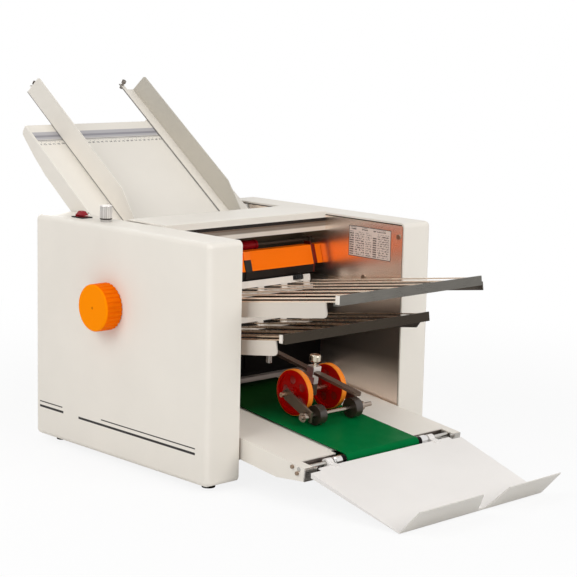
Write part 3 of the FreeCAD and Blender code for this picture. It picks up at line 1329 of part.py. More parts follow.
def build():
    return {
        "left_housing": left_housing(),
        "right_housing": right_housing(),
        "left_frame_plate": left_frame_plate(),
        "right_frame_plate": right_frame_plate(),
        "shaft_bushes": shaft_bushes(),
        "rubber_feet": rubber_feet(),
        "base_cover": group([base_pan(), rear_cover()]),
        "power_inlet": power_inlet(),
        "top_cover": top_cover(),
        "front_rail": front_rail(),
        "roller_guard": roller_guard(),
        "guard_bracket": guard_bracket(),
        "feed_table": feed_table(),
        "guide_rail": group([guide_rail(), table_supports()]),
        "left_guide": left_guide(),
        "right_guide": right_guide(),
        "left_guide_screw": tilt(mirror_x(guide_screw()), TABLE_TILT, TABLE_ORIGIN),
        "right_guide_screw": tilt(guide_screw(), TABLE_TILT, TABLE_ORIGIN),
        "separator_pad": separator_pad(),
        "feed_roller": feed_roller(),
        "feed_idler": feed_idler(),
        "fold_roller_1": fold_roller_1(),
        "drive_roller": drive_roller(),
        "fold_roller_3": fold_roller_3(),
        "fold_roller_4": fold_roller_4(),
        "fold_roller_5": fold_roller_5(),
        "sheet_deflectors": sheet_deflectors(),
        "hand_knob": hand_knob(),
        "timing_belts": timing_belts(),
        "drive_motor": drive_motor(),
        "motor_rotor": motor_rotor(),
        "upper_comb_strips": on_comb(comb_strips(UPPER_LEN), UPPER_ORIGIN, 0),
        "upper_comb_frame": on_comb(comb_frame(UPPER_SIDE, UPPER_LEN + BAR_T, RIGHT_UPPER_H, 0),
                                    UPPER_ORIGIN, 0),
        "lower_comb_strips": on_comb(comb_strips(LOWER_LEN), LOWER_ORIGIN, 0),
        "lower_comb_frame": on_comb(comb_frame(LOWER_SIDE, RIGHT_LOWER_LEN, RIGHT_LOWER_H, RIGHT_LOWER_H),
                                    LOWER_ORIGIN, 0),
        "comb_bars": group([on_comb(comb_bar(UPPER_LEN, COMB_HALF - SIDE_T), UPPER_ORIGIN, 0),
                            on_comb(comb_bar(LOWER_LEN, COMB_HALF), LOWER_ORIGIN, 0)]),
        "upper_stop": on_comb(comb_stop(), UPPER_ORIGIN, STOP_S),
        "upper_stop_knob": on_comb(stop_knob(), UPPER_ORIGIN, STOP_S),
        "lower_stop": on_comb(comb_stop(), LOWER_ORIGIN, STOP_S),
        "lower_stop_knob": on_comb(stop_knob(), LOWER_ORIGIN, STOP_S),
        "speed_knob": speed_knob(),
        "panel_bezels": group([switch_bezel(), speed_collar()]),
        "power_rocker": power_rocker(),
        "delivery_deck": delivery_deck(),
        "deck_front_rod": join([deck_ends(), belt_rod()]),
        "belt_front_roller": belt_front_roller(),
        "belt_drive_roller": belt_drive_roller(),
        "delivery_belt": delivery_belt(),
        "catch_tray": catch_tray(),
        "exit_panel": exit_panel(),
        "fasteners": group([fasteners(), idler_stud()]),
        "carriage_rod": carriage_rod(),
        "bar_screw": bar_screw(),
        "carriage_frame": group([carriage_post(), carriage_arms()]),
        "carriage_axle": carriage_axle(),
        "clamp_knob": clamp_knob(),
        "left_wheel": carriage_wheel(-1),
        "right_wheel": carriage_wheel(1),
        "press_shaft": press_shaft(),
        "press_rollers": press_rollers(),
    }


def export(parts):
    os.makedirs("parts", exist_ok=True)
    whole = Part.makeCompound(list(parts.values())).BoundBox
    shift = V(-(whole.XMin + whole.XMax) / 2, -(whole.YMin + whole.YMax) / 2, -whole.ZMin)
    for name, shape in parts.items():
        moved = shape.copy()
        moved.translate(shift)
        moved.exportStep("parts/" + name + ".step")
    print("nodes", len(parts), "shift", shift, "box", whole)


export(build())
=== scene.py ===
import math

import bmesh
import bpy
from mathutils import Matrix, Vector


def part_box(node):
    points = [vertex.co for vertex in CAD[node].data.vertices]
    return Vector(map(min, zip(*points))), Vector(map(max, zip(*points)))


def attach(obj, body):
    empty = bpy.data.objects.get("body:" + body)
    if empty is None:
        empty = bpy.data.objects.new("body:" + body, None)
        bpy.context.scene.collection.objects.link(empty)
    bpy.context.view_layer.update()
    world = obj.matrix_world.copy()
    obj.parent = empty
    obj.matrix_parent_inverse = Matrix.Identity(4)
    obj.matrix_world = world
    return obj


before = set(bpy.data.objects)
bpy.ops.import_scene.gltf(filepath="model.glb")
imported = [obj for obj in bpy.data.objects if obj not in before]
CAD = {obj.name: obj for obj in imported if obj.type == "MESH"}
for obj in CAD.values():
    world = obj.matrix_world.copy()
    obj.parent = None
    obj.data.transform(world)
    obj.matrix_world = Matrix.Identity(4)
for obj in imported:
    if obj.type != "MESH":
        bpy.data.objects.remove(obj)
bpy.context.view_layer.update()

# Lengths are given in millimetres; times MM they are the scene's metres.
MM = 0.001

# The left casing's low corner in the machine's own coordinates, where x is 0
# half-way between the frame plates and z is 0 on the table top.
CASING_CORNER = Vector((-260.0, -233.0, 10.0)) * MM
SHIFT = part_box("left_housing")[0] - CASING_CORNER

# Further off than any side of the machine.
BEYOND = 1000
# A little past the end of a piece.
PAST = 10 * MM
# Two points this close together are the same.
TOUCH = 0.02 * MM


def at(x, y, z):
    """A point in the machine's own millimetres, in the scene's metres."""
    return Vector((x, y, z)) * MM + SHIFT


def place_on(axis, value):
    """One coordinate in the machine's own millimetres, in the scene's metres."""
    return at(value, value, value)["XYZ".index(axis)]


def srgb(red, green, blue):
    """A colour given in 0 to 255, as linear light."""
    out = []
    for value in (red, green, blue):
        part = value / 255
        out.append(part / 12.92 if part <= 0.04045 else ((part + 0.055) / 1.055) ** 2.4)
    return (*out, 1.0)


def darker(colour, share):
    """The same colour with only a share of its light."""
    return (*[part * share for part in colour[:3]], 1.0)


# ---------------------------------------------------------------------- nodes


def feed(tree, socket, value):
    """Join an input to another node's output, or set its plain value."""
    if isinstance(value, bpy.types.NodeSocket):
        tree.links.new(value, socket)
    else:
        socket.default_value = value


def add(tree, kind, inputs=None, **settings):
    """A node with its settings, and with its inputs set or joined."""
    node = tree.nodes.new(kind)
    for key, value in settings.items():
        setattr(node, key, value)
    for key, value in (inputs or {}).items():
        feed(tree, node.inputs[key], value)
    return node


def math_node(tree, operation, first, second=None, clamp=False):
    """A maths node fed by sockets or plain numbers; returns its output."""
    values = {0: first} if second is None else {0: first, 1: second}
    node = add(tree, "ShaderNodeMath", values, operation=operation, use_clamp=clamp)
    return node.outputs[0]


def noise(tree, point, scale, **shape):
    """How a noise texture varies from place to place."""
    inputs = {"Vector": point, "Scale": scale}
    inputs.update({key.capitalize(): value for key, value in shape.items()})
    return add(tree, "ShaderNodeTexNoise", inputs).outputs["Fac"]


def ranged(tree, value, low, high):
    """A 0 to 1 socket mapped onto low to high."""
    inputs = {"Value": value, "To Min": low, "To Max": high}
    return add(tree, "ShaderNodeMapRange", inputs).outputs["Result"]


def stretched(tree, value, low, high):
    """A socket whose range from low to high is mapped onto 0 to 1."""
    inputs = {"Value": value, "From Min": low, "From Max": high}
    return add(tree, "ShaderNodeMapRange", inputs).outputs["Result"]


def mixed(tree, factor, first, second):
    """A colour between two colours or sockets by a factor socket."""
    inputs = {0: factor, 6: first, 7: second}
    return add(tree, "ShaderNodeMix", inputs, data_type="RGBA").outputs[2]


def joined(tree, first, *others):
    """The product of several masks."""
    for mask in others:
        first = math_node(tree, "MULTIPLY", first, mask)
    return first


def body_point(tree):
    """The place on the piece, in metres."""
    return add(tree, "ShaderNodeTexCoord").outputs["Object"]


def body_axes(tree):
    """That place's X, Y and Z as separate sockets."""
    return add(tree, "ShaderNodeSeparateXYZ", {"Vector": body_point(tree)}).outputs


# ---------------------------------------------------------------- node groups

NUMBER = "NodeSocketFloat"


def open_group(name, inputs):
    """A shader group with number inputs; returns it and the sockets they arrive at."""
    group = bpy.data.node_groups.new(name, "ShaderNodeTree")
    for label, default in inputs.items():
        socket = group.interface.new_socket(label, in_out="INPUT", socket_type=NUMBER)
        socket.default_value = default
    return group, group.nodes.new("NodeGroupInput").outputs


def close_group(group, results):
    """Give the group a number output for each result."""
    for label in results:
        group.interface.new_socket(label, in_out="OUTPUT", socket_type=NUMBER)
    end = group.nodes.new("NodeGroupOutput")
    for label, value in results.items():
        group.links.new(value, end.inputs[label])
    return group


def build_paint_grain():
    """Fine pebbled skin of powder paint, a slow unevenness and a faint soiling mask."""
    group, start = open_group("paint_grain", {"Grain": 700.0, "Cloud": 6.0})
    point = body_point(group)
    cloud = noise(group, point, start["Cloud"], detail=4.0, roughness=0.55)
    cells = add(
        group, "ShaderNodeTexVoronoi",
        {"Vector": point, "Scale": 130.0, "Randomness": 1.0},
    )
    spots = stretched(group, cells.outputs["Distance"], low=0.12, high=0.05)
    patches = math_node(group, "GREATER_THAN", cloud, 0.6)
    return close_group(
        group,
        {
            "Height": noise(group, point, start["Grain"], detail=2.0, roughness=0.5),
            "Cloud": stretched(group, cloud, low=0.3, high=0.7),
            "Specks": joined(group, spots, patches),
        },
    )


def build_brushed():
    """Long fine scratches along one axis: a height, a streak mask and smudges."""
    group, start = open_group(
        "brushed_metal", {"Across X": 1.0, "Across Y": 1.0, "Across Z": 1.0}
    )
    point = body_point(group)
    factors = add(
        group, "ShaderNodeCombineXYZ", {axis: start[f"Across {axis}"] for axis in "XYZ"}
    )
    squeezed = add(
        group, "ShaderNodeVectorMath", {0: point, 1: factors.outputs["Vector"]},
        operation="MULTIPLY",
    )
    scratches = noise(group, squeezed.outputs["Vector"], scale=1.0, detail=3.0)
    smudges = noise(group, point, scale=22.0, detail=5.0)
    return close_group(
        group,
        {
            "Height": scratches,
            "Streak": stretched(group, scratches, low=0.35, high=0.65),
            "Smudge": stretched(group, smudges, low=0.42, high=0.66),
        },
    )


def build_band():
    """1 where Value lies between Low and High, with a soft rim of the given width."""
    group, start = open_group(
        "soft_band", {"Value": 0.0, "Low": 0.0, "High": 1.0, "Rim": 0.0003}
    )
    above = math_node(group, "SUBTRACT", start["Value"], start["Low"])
    below = math_node(group, "SUBTRACT", start["High"], start["Value"])
    nearest = math_node(group, "MINIMUM", above, below)
    ramp = math_node(group, "DIVIDE", nearest, start["Rim"])
    return close_group(group, {"Mask": math_node(group, "ADD", ramp, 0.5, clamp=True)})


PAINT_GRAIN = build_paint_grain()
BRUSHED = build_brushed()
SOFT_BAND = build_band()


def grouped(tree, group, inputs):
    """One of these groups placed in a material; returns its outputs."""
    return add(tree, "ShaderNodeGroup", inputs, node_tree=group).outputs


# ---------------------------------------------------------------------- masks

# Widths of a mask's soft rim.
CRISP = 0.4 * MM
SOFT = 0.6 * MM
BLURRED = 2 * MM


def band(tree, value, low, high, rim=CRISP):
    """A mask that is 1 where the value lies between low and high."""
    inputs = {"Value": value, "Low": low, "High": high, "Rim": rim}
    return grouped(tree, SOFT_BAND, inputs)["Mask"]


def block_mask(tree, axes, ranges, rim=CRISP):
    """A mask inside ranges along x, y and z, in the machine's own millimetres.

    None leaves an axis open.
    """
    masks = []
    for axis, limits in zip("XYZ", ranges):
        if limits is not None:
            low, high = (place_on(axis, value) for value in limits)
            masks.append(band(tree, axes[axis], low, high, rim))
    return joined(tree, *masks)


def reach_from(tree, axes, names, centre):
    """How far the place lies from an axis through centre, measured in two axes."""
    squares = []
    for name in names:
        way = math_node(tree, "SUBTRACT", axes[name], centre["XYZ".index(name)])
        squares.append(math_node(tree, "MULTIPLY", way, way))
    return math_node(tree, "SQRT", math_node(tree, "ADD", *squares))


def repeated(tree, value, pitch):
    """How far a value has come through each repeat of a pitch, from 0 to 1."""
    return math_node(tree, "FRACT", math_node(tree, "DIVIDE", value, pitch))


# ------------------------------------------------------------------ materials

# How far the roughness strays from the one given, where the skin is uneven.
PAINT_STRAY = (0.07, -0.05)
PLASTIC_STRAY = (0.08, -0.03)
# Soiled specks: how much they cover, and how much light they leave.
SOIL_COVER = 0.18
SOIL_TONE = 0.55
# How deep the skins and scratches are, and how strongly that shows.
PAINT_SKIN = (0.06 * MM, 0.5)
PLASTIC_SKIN = (0.03 * MM, 0.4)
SCRATCH_DEPTH = 0.02 * MM
SCRATCH_STRENGTH = 0.6
PLASTIC_GRAIN = {"Grain": 1500.0, "Cloud": 30.0}
PLASTIC_CLOUD = 0.1
COAT_ROUGHNESS = 0.12
# Blasted metal: the width of its upper edge, and its added roughness.
BLAST_EDGE = 60 * MM
BLAST_ROUGHNESS = 0.08


def blank(name):
    """A material; returns it, its tree and the inputs of its Principled shader."""
    material = bpy.data.materials.new(name)
    material.use_nodes = True
    tree = material.node_tree
    return material, tree, tree.nodes["Principled BSDF"].inputs


def bumped(tree, inputs, height, distance, strength):
    """Let a height raise the surface."""
    values = {"Height": height, "Distance": distance, "Strength": strength}
    bump = add(tree, "ShaderNodeBump", values)
    tree.links.new(bump.outputs["Normal"], inputs["Normal"])


def painted(name, colour, gloss=0.42, cloud=0.05, specular=0.4, marks=None):
    """Powder-painted sheet steel; marks adds printed patterns, painted shade and
    painted reflection to the colour.
    """
    material, tree, inputs = blank(name)
    skin = grouped(tree, PAINT_GRAIN, {"Grain": 620.0})
    shade = mixed(tree, skin["Cloud"], darker(colour, 1 - cloud), colour)
    soil = ranged(tree, skin["Specks"], 0.0, SOIL_COVER)
    shade = mixed(tree, soil, shade, darker(colour, SOIL_TONE))
    if marks:
        shade = marks(tree, shade)
    feed(tree, inputs["Base Color"], shade)
    limits = [gloss + stray for stray in PAINT_STRAY]
    feed(tree, inputs["Roughness"], ranged(tree, skin["Cloud"], *limits))
    inputs["Specular IOR Level"].default_value = specular
    bumped(tree, inputs, skin["Height"], *PAINT_SKIN)
    return material


def metal(
    name, colour, rough, across, streak=0.12, smudge=0.08, deep=SCRATCH_DEPTH,
    marks=None, paper=None, bare=1.0, dull=None,
):
    """Bare or plated metal with scratches; across is how close they lie along X, Y, Z.

    marks changes the metal's tone, paper adds a label that isn't metal, bare is how
    much of it is clean metal, and dull is a height below which it is blasted matt.
    """
    material, tree, inputs = blank(name)
    closeness = {f"Across {axis}": value for axis, value in zip("XYZ", across)}
    lines = grouped(tree, BRUSHED, closeness)
    tone = mixed(tree, lines["Streak"], darker(colour, 1 - streak), colour)
    if marks:
        tone = marks(tree, tone)
    inputs["Metallic"].default_value = bare
    if paper:
        tone, field = paper(tree, tone)
        clean = math_node(tree, "SUBTRACT", bare, field, clamp=True)
        feed(tree, inputs["Metallic"], clean)
    feed(tree, inputs["Base Color"], tone)
    worn = math_node(
        tree,
        "ADD",
        ranged(tree, lines["Smudge"], rough - smudge / 2, rough + smudge),
        ranged(tree, lines["Streak"], 0.0, smudge / 2),
        clamp=True,
    )
    if dull:
        height = (None, None, (-BEYOND, dull))
        blasted = block_mask(tree, body_axes(tree), height, BLAST_EDGE)
        worn = math_node(tree, "ADD", worn, ranged(tree, blasted, 0.0, BLAST_ROUGHNESS))
    feed(tree, inputs["Roughness"], worn)
    bumped(tree, inputs, lines["Height"], deep, SCRATCH_STRENGTH)
    return material


def moulded(name, colour, rough=0.35, coat=0.0, specular=0.3, marks=None):
    """Moulded plastic or rubber with a fine matt grain."""
    material, tree, inputs = blank(name)
    skin = grouped(tree, PAINT_GRAIN, PLASTIC_GRAIN)
    shade = mixed(tree, skin["Cloud"], darker(colour, 1 - PLASTIC_CLOUD), colour)
    if marks:
        shade = marks(tree, shade)
    feed(tree, inputs["Base Color"], shade)
    limits = [rough + stray for stray in PLASTIC_STRAY]
    feed(tree, inputs["Roughness"], ranged(tree, skin["Cloud"], *limits))
    inputs["Coat Weight"].default_value = coat
    inputs["Coat Roughness"].default_value = COAT_ROUGHNESS
    inputs["Specular IOR Level"].default_value = specular
    bumped(tree, inputs, skin["Height"], *PLASTIC_SKIN)
    return material


# ------------------------------------------- second colours on one of the pieces

# Dark ink for printed marks; the same colour draws the painted shadow lines at the
# guides' feet.
INK_AND_SHADOW = srgb(88, 84, 84)
# How much of the dark colour covers the sheet below it, in painted shadow lines and in
# printed marks.
SHADOW_LINE_COVER = 0.8
PRINT_COVER = 0.85


def area(colour, x=None, y=None, z=None, rim=CRISP, cover=1.0):
    """A second colour inside ranges in the machine's own millimetres.

    None leaves an axis open, rim is the width of the soft edge, and cover is how
    much of the first colour is hidden.
    """
    return colour, (x, y, z), rim, cover


def coloured(*areas):
    """Marks that lay second colours over a piece, one after the other."""

    def paint(tree, shade):
        axes = body_axes(tree)
        for colour, ranges, rim, cover in areas:
            mask = block_mask(tree, axes, ranges, rim)
            shade = mixed(tree, ranged(tree, mask, 0.0, cover), shade, colour)
        return shade

    return paint


# Two printed stripes, in two runs each, along the foot of the left casing.
STRIPE_INK = srgb(24, 18, 17)
STRIPE_DEPTH = (-262, -258)
CASING_STRIPES = coloured(
    area(STRIPE_INK, STRIPE_DEPTH, (-205, 106), (59.5, 63.6)),
    area(STRIPE_INK, STRIPE_DEPTH, (150, 220), (60.5, 64.6)),
    area(STRIPE_INK, STRIPE_DEPTH, (-205, 42), (69.2, 71.2)),
    area(STRIPE_INK, STRIPE_DEPTH, (153, 220), (70.0, 72.0)),
)
# Painted shade: the fold plates' right side rails are painted darker than the left
# ones, the lower ones most.
RIGHT_RAIL = (160, BEYOND)
UPPER_RIGHT_RAIL_SHADE = coloured(area(srgb(78, 72, 66), RIGHT_RAIL, rim=SOFT))
LOWER_RIGHT_RAIL_SHADE = coloured(area(srgb(60, 55, 50), RIGHT_RAIL, rim=SOFT))
# Painted shade: the lower front bar is painted darker and browner than the upper one,
# which shades it.
LOWER_BAR_SHADE = coloured(area(srgb(67, 60, 52), z=(-BEYOND, 300), rim=BLURRED))
# Black end rings on the belt roller, close beside the belt.
RING_BLACK = srgb(24, 22, 22)
BELT_RINGS = coloured(area(RING_BLACK, (-95, -86)), area(RING_BLACK, (86, 95)))
# The front rail is painted browner at its top as painted shade, and bright along its
# lower half as a painted highlight.
RAIL_SHADE_AND_HIGHLIGHT = coloured(
    area(srgb(124, 106, 92), z=(387, 392), rim=BLURRED),
    area(srgb(236, 228, 218), z=(371, 381), rim=BLURRED),
)
# The carriage's upright post is plated.
BRIGHT_POST = coloured(area(srgb(238, 232, 226), (-2, 17), z=(140, 190)))
# The guard's black carrier has a painted reflection of the orange guard, in dark red,
# on its right end, and orange over its strap.
CARRIER_REFLECTION_AND_STRAP = coloured(
    area(srgb(92, 22, 8), (165.5, BEYOND), z=(-BEYOND, 370), rim=SOFT),
    area(srgb(255, 116, 0), (-4, 15), z=(332, 347), rim=SOFT),
)
# Painted shade: the catch tray's turned-up lip, which faces down, is painted a little
# greyer than its floor.
TRAY_LIP_SHADE = coloured(area(srgb(216, 212, 205), y=(-640, -571)))
# Painted shade: the belt is painted darker towards its rear, where the combs and the
# left casing shade it.
BELT_REAR_SHADE = coloured(area(srgb(16, 54, 20), y=(-170, BEYOND), rim=90 * MM))
# The speed knob's collar is plated, the switch's frame stays black.
SILVER_COLLAR = coloured(area(srgb(176, 172, 168), y=(40, 110)))
# Painted shade: the right guide's upright is painted darker, and a painted shadow line
# runs along its flange.
RIGHT_GUIDE_SHADE = coloured(
    area(srgb(196, 190, 178), (124.6, 130)),
    area(INK_AND_SHADOW, (101, 103), cover=SHADOW_LINE_COVER),
)

# ------------------------------------------------------- patterns of their own

TABLE_TILT = math.radians(36.0)
TABLE_ROOT = (0.0, 175.0, 406.0)

# The ruler's reach across the table, and its rows up the slope with their tones.
RULER_REACH = (-182, 176)
RULER_TONES = (
    (201, 222, srgb(166, 164, 170)),
    (207, 213, srgb(136, 134, 140)),
    (198, 200, srgb(112, 108, 110)),
)
# The pitches of its ticks and where each kind starts; all end at the same height.
LONG_PITCH = 10
TICKS = ((2, 195), (LONG_PITCH, 192))
TICK_TOP = 199
TICK_WIDTH = 0.5
# The row of broken marks below them.
MARK_ROW = (186, 190)
# The sheet's upper face, as heights over it, and the rim of that mask.
RULER_FACE = (-0.6 * MM, 20 * MM)
FACE_RIM = 0.2 * MM
# The left guide's upright, and the part of it next to the sheet.
GUIDE_UPRIGHT = (-128, -126.4)
GUIDE_FOOT = (-1 * MM, 2.1 * MM)


def table_ways(tree):
    """How far the place lies up the table's slope and above its sheet, in metres."""
    from_root = add(
        tree, "ShaderNodeVectorMath", {0: body_point(tree), 1: at(*TABLE_ROOT)},
        operation="SUBTRACT",
    )
    along, up = math.cos(TABLE_TILT), math.sin(TABLE_TILT)
    ways = []
    for way in ((0.0, along, up), (0.0, -up, along)):
        part = add(
            tree, "ShaderNodeVectorMath", {0: from_root.outputs["Vector"], 1: way},
            operation="DOT_PRODUCT",
        )
        ways.append(part.outputs["Value"])
    return ways


def table_ruler(tree, shade):
    """A grey ruler band across the table's upper face with fine ticks under it."""
    axes = body_axes(tree)
    height, lift = table_ways(tree)
    across = block_mask(tree, axes, (RULER_REACH, None, None))
    across = joined(tree, across, band(tree, lift, *RULER_FACE, rim=FACE_RIM))
    for foot, top, tone in RULER_TONES:
        grey = joined(tree, across, band(tree, height, foot * MM, top * MM, SOFT))
        shade = mixed(tree, ranged(tree, grey, 0.0, PRINT_COVER), shade, tone)
    for pitch, foot in TICKS:
        share = repeated(tree, axes["X"], pitch * MM)
        tick = math_node(tree, "LESS_THAN", share, TICK_WIDTH / pitch)
        row = band(tree, height, foot * MM, TICK_TOP * MM)
        shade = mixed(tree, joined(tree, across, row, tick), shade, INK_AND_SHADOW)
    share = repeated(tree, axes["X"], LONG_PITCH * MM)
    mark = band(tree, share, low=0.2, high=0.8, rim=0.05)
    row = band(tree, height, *[value * MM for value in MARK_ROW])
    broken = noise(tree, body_point(tree), scale=900.0, detail=0.0)
    ink = math_node(tree, "GREATER_THAN", broken, 0.5)
    return mixed(tree, joined(tree, across, mark, row, ink), shade, INK_AND_SHADOW)


def left_guide_shadow_line(tree, shade):
    """A painted shadow line along the foot of the left guide's upright."""
    upright = block_mask(tree, body_axes(tree), (GUIDE_UPRIGHT, None, None))
    foot = band(tree, table_ways(tree)[1], *GUIDE_FOOT)
    line = joined(tree, upright, foot)
    return mixed(tree, ranged(tree, line, 0.0, SHADOW_LINE_COVER), shade, INK_AND_SHADOW)


# The label on the right frame plate: its depth, its run and rise, and its frame.
LABEL_DEPTH = (186, 190.4)
LABEL = ((-202, -99), (334, 389))
LABEL_FRAME = 1.2
LABEL_FRAME_TONE = srgb(60, 50, 46)
LABEL_PAPER = srgb(222, 208, 198)
LABEL_MARKS = srgb(64, 52, 48)
LABEL_ROW_PITCH = 4.1
LABEL_RIM = 0.08
# Blocks of marks: their run, their rise, and how empty they are.
LABEL_BLOCKS = (
    ((-111, -101), (337, 379), 0.38),
    ((-137, -114), (337, 379), 0.50),
    ((-155, -140), (337, 379), 0.53),
    ((-167, -158), (337, 372), 0.34),
    ((-197, -170), (337, 379), 0.51),
    ((-117, -103), (382, 387), 0.42),
    ((-145, -131), (382, 387), 0.42),
    ((-189, -159), (382, 387), 0.48),
)


def plate_label(tree, shade):
    """A pale label with a thin frame and rows of small settings marks."""
    axes = body_axes(tree)
    field = block_mask(tree, axes, (LABEL_DEPTH, *LABEL))
    inner = [(low + LABEL_FRAME, high - LABEL_FRAME) for low, high in LABEL]
    inside = block_mask(tree, axes, (LABEL_DEPTH, *inner))
    shade = mixed(tree, field, shade, LABEL_FRAME_TONE)
    shade = mixed(tree, inside, shade, LABEL_PAPER)
    broken = noise(tree, body_point(tree), scale=420.0, detail=2.0)
    rows = repeated(tree, axes["Z"], LABEL_ROW_PITCH * MM)
    rows = band(tree, rows, low=0.15, high=0.75, rim=LABEL_RIM)
    for run, rise, empty in LABEL_BLOCKS:
        block = block_mask(tree, axes, (LABEL_DEPTH, run, rise))
        dots = band(tree, broken, empty, 1.0, LABEL_RIM)
        ink = ranged(tree, joined(tree, block, rows, dots), 0.0, PRINT_COVER)
        shade = mixed(tree, ink, shade, LABEL_MARKS)
    return shade, field


# The plate's painted shade zone, and the dark lines where it ends.
PLATE_SHADE = (150, 257)
PLATE_SHADE_RIM = 30 * MM
PLATE_TOP_LINE = 1.6 * MM
PLATE_FRONT_LINE = 1.2 * MM
PLATE_COVER = 0.6


def plate_shade_and_rim(tree, shade):
    """Painted shade: the plate is painted darker under the fold plates, which shade it;
    it is lined along its top and front.
    """
    axes = body_axes(tree)
    shaded = block_mask(tree, axes, (None, None, PLATE_SHADE), PLATE_SHADE_RIM)
    shaded = ranged(tree, shaded, 0.0, PLATE_COVER)
    shade = mixed(tree, shaded, shade, srgb(66, 52, 42))
    low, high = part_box("right_frame_plate")
    top = band(tree, axes["Z"], high.z - PLATE_TOP_LINE, high.z + PAST)
    front = band(tree, axes["Y"], low.y - PAST, low.y + PLATE_FRONT_LINE)
    lines = math_node(tree, "MAXIMUM", top, ranged(tree, front, 0.0, PLATE_COVER))
    return mixed(tree, lines, shade, srgb(52, 44, 40))


TREAD_RING = (38.6 * MM, 60 * MM)


def tread_light(tree, shade):
    """Painted light: the wheel's rim is a softer orange ring on the red body, for light
    glowing through the red plastic there.
    """
    low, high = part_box("left_wheel")
    radius = reach_from(tree, body_axes(tree), "YZ", (low + high) / 2)
    return mixed(tree, band(tree, radius, *TREAD_RING, SOFT), shade, srgb(255, 142, 40))


KNOB_FACE_DEPTH = 2.2 * MM
# Rings on the hand knob's face: their radii, their cover and their tone.
KNOB_RINGS = (
    ((40.5 * MM, 50 * MM), 0.5, srgb(232, 112, 0)),
    ((-1 * MM, 2.4 * MM), 0.6, srgb(170, 72, 0)),
)


def lit_knob_face(tree, shade):
    """Painted light: the hand knob's face is painted a lighter orange than its sides,
    for the light it catches; it has a darker rim and a dimple.
    """
    axes = body_axes(tree)
    low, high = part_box("hand_knob")
    face = band(tree, axes["X"], low.x - PAST, low.x + KNOB_FACE_DEPTH, SOFT)
    shade = mixed(tree, face, shade, srgb(255, 142, 0))
    radius = reach_from(tree, axes, "YZ", (low + high) / 2)
    for ring, cover, tone in KNOB_RINGS:
        mark = joined(tree, face, band(tree, radius, *ring))
        shade = mixed(tree, ranged(tree, mark, 0.0, cover), shade, tone)
    return shade


# The speed knob: the radii of its flutes' roots, its plain top and its foot.
FLUTE_ROOTS = (4 * MM, 10.15 * MM)
FLUTE_RIM = 0.3 * MM
FLUTE_TOP = 1.2 * MM
KNOB_FOOT = (409.2, 411.4)


def flute_shade(tree, shade):
    """Darker flutes round the speed knob, and a dark ring at its foot."""
    axes = body_axes(tree)
    low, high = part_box("speed_knob")
    radius = reach_from(tree, axes, "XY", (low + high) / 2)
    top = band(tree, axes["Z"], high.z - FLUTE_TOP, high.z + PAST)
    roots = band(tree, radius, *FLUTE_ROOTS, FLUTE_RIM)
    roots = math_node(tree, "SUBTRACT", roots, top, clamp=True)
    shade = mixed(tree, roots, shade, srgb(182, 177, 172))
    foot = block_mask(tree, axes, (None, None, KNOB_FOOT))
    return mixed(tree, foot, shade, srgb(62, 56, 52))


# ------------------------------------------------------------------- finishes

WHITE = srgb(236, 230, 220)
STEEL = srgb(196, 192, 186)
FRAME_PAINT = srgb(214, 205, 194)
PLASTIC_BLACK = srgb(18, 17, 17)
# How close scratches lie on the frame plates, and on metal without a grain.
UPRIGHT_GRAIN = (900, 900, 12)
NO_GRAIN = (300, 300, 300)
# The frame plates are polished above the height given as dull.
POLISHED = {"streak": 0.015, "smudge": 0.0, "deep": 0.004 * MM, "dull": 262}

SLOT_FINISH = {
    "casing_white": painted("casing_paint", WHITE),
    "inner_steel": metal(
        "plate_steel", srgb(252, 238, 226), 0.27, UPRIGHT_GRAIN, **POLISHED
    ),
    "steel": metal("bright_steel", STEEL, 0.22, (60, 900, 900)),
    "chrome": metal(
        "chrome_plate", srgb(224, 224, 224), 0.07, (40, 700, 700), streak=0.04
    ),
    "dark_metal": painted("black_paint", srgb(34, 31, 29), gloss=0.38, cloud=0.25),
    "dark_steel": metal(
        "oiled_steel", srgb(112, 104, 96), 0.3, (700, 60, 700), streak=0.2
    ),
    "guard_orange": painted(
        "guard_orange", srgb(255, 116, 0), gloss=0.4, cloud=0.02, specular=0.08
    ),
    "orange_plastic": moulded(
        "knob_orange", srgb(255, 118, 0), 0.45, specular=0.02, marks=lit_knob_face
    ),
    "wheel_red": moulded(
        "wheel_red", srgb(206, 4, 0), 0.22, coat=0.1, specular=0.12, marks=tread_light
    ),
    "belt_green": moulded(
        "belt_green", srgb(0, 108, 54), 0.3, specular=0.015, marks=BELT_REAR_SHADE
    ),
    "roller_rubber": moulded("roller_rubber", srgb(48, 42, 38), 0.45),
    "black_rubber": moulded("black_rubber", srgb(26, 21, 18), 0.6, specular=0.15),
    "white_plastic": moulded("white_plastic", srgb(236, 228, 218), 0.4),
    "black_plastic": moulded("black_plastic", PLASTIC_BLACK),
    "silver_plastic": metal(
        "silver_knob", srgb(218, 214, 210), 0.34, (90, 90, 90), streak=0.05,
        marks=flute_shade,
    ),
    "rocker_red": moulded("rocker_red", srgb(140, 4, 16), specular=0.1),
    "bronze": metal("bronze", srgb(170, 122, 70), 0.35, NO_GRAIN),
}

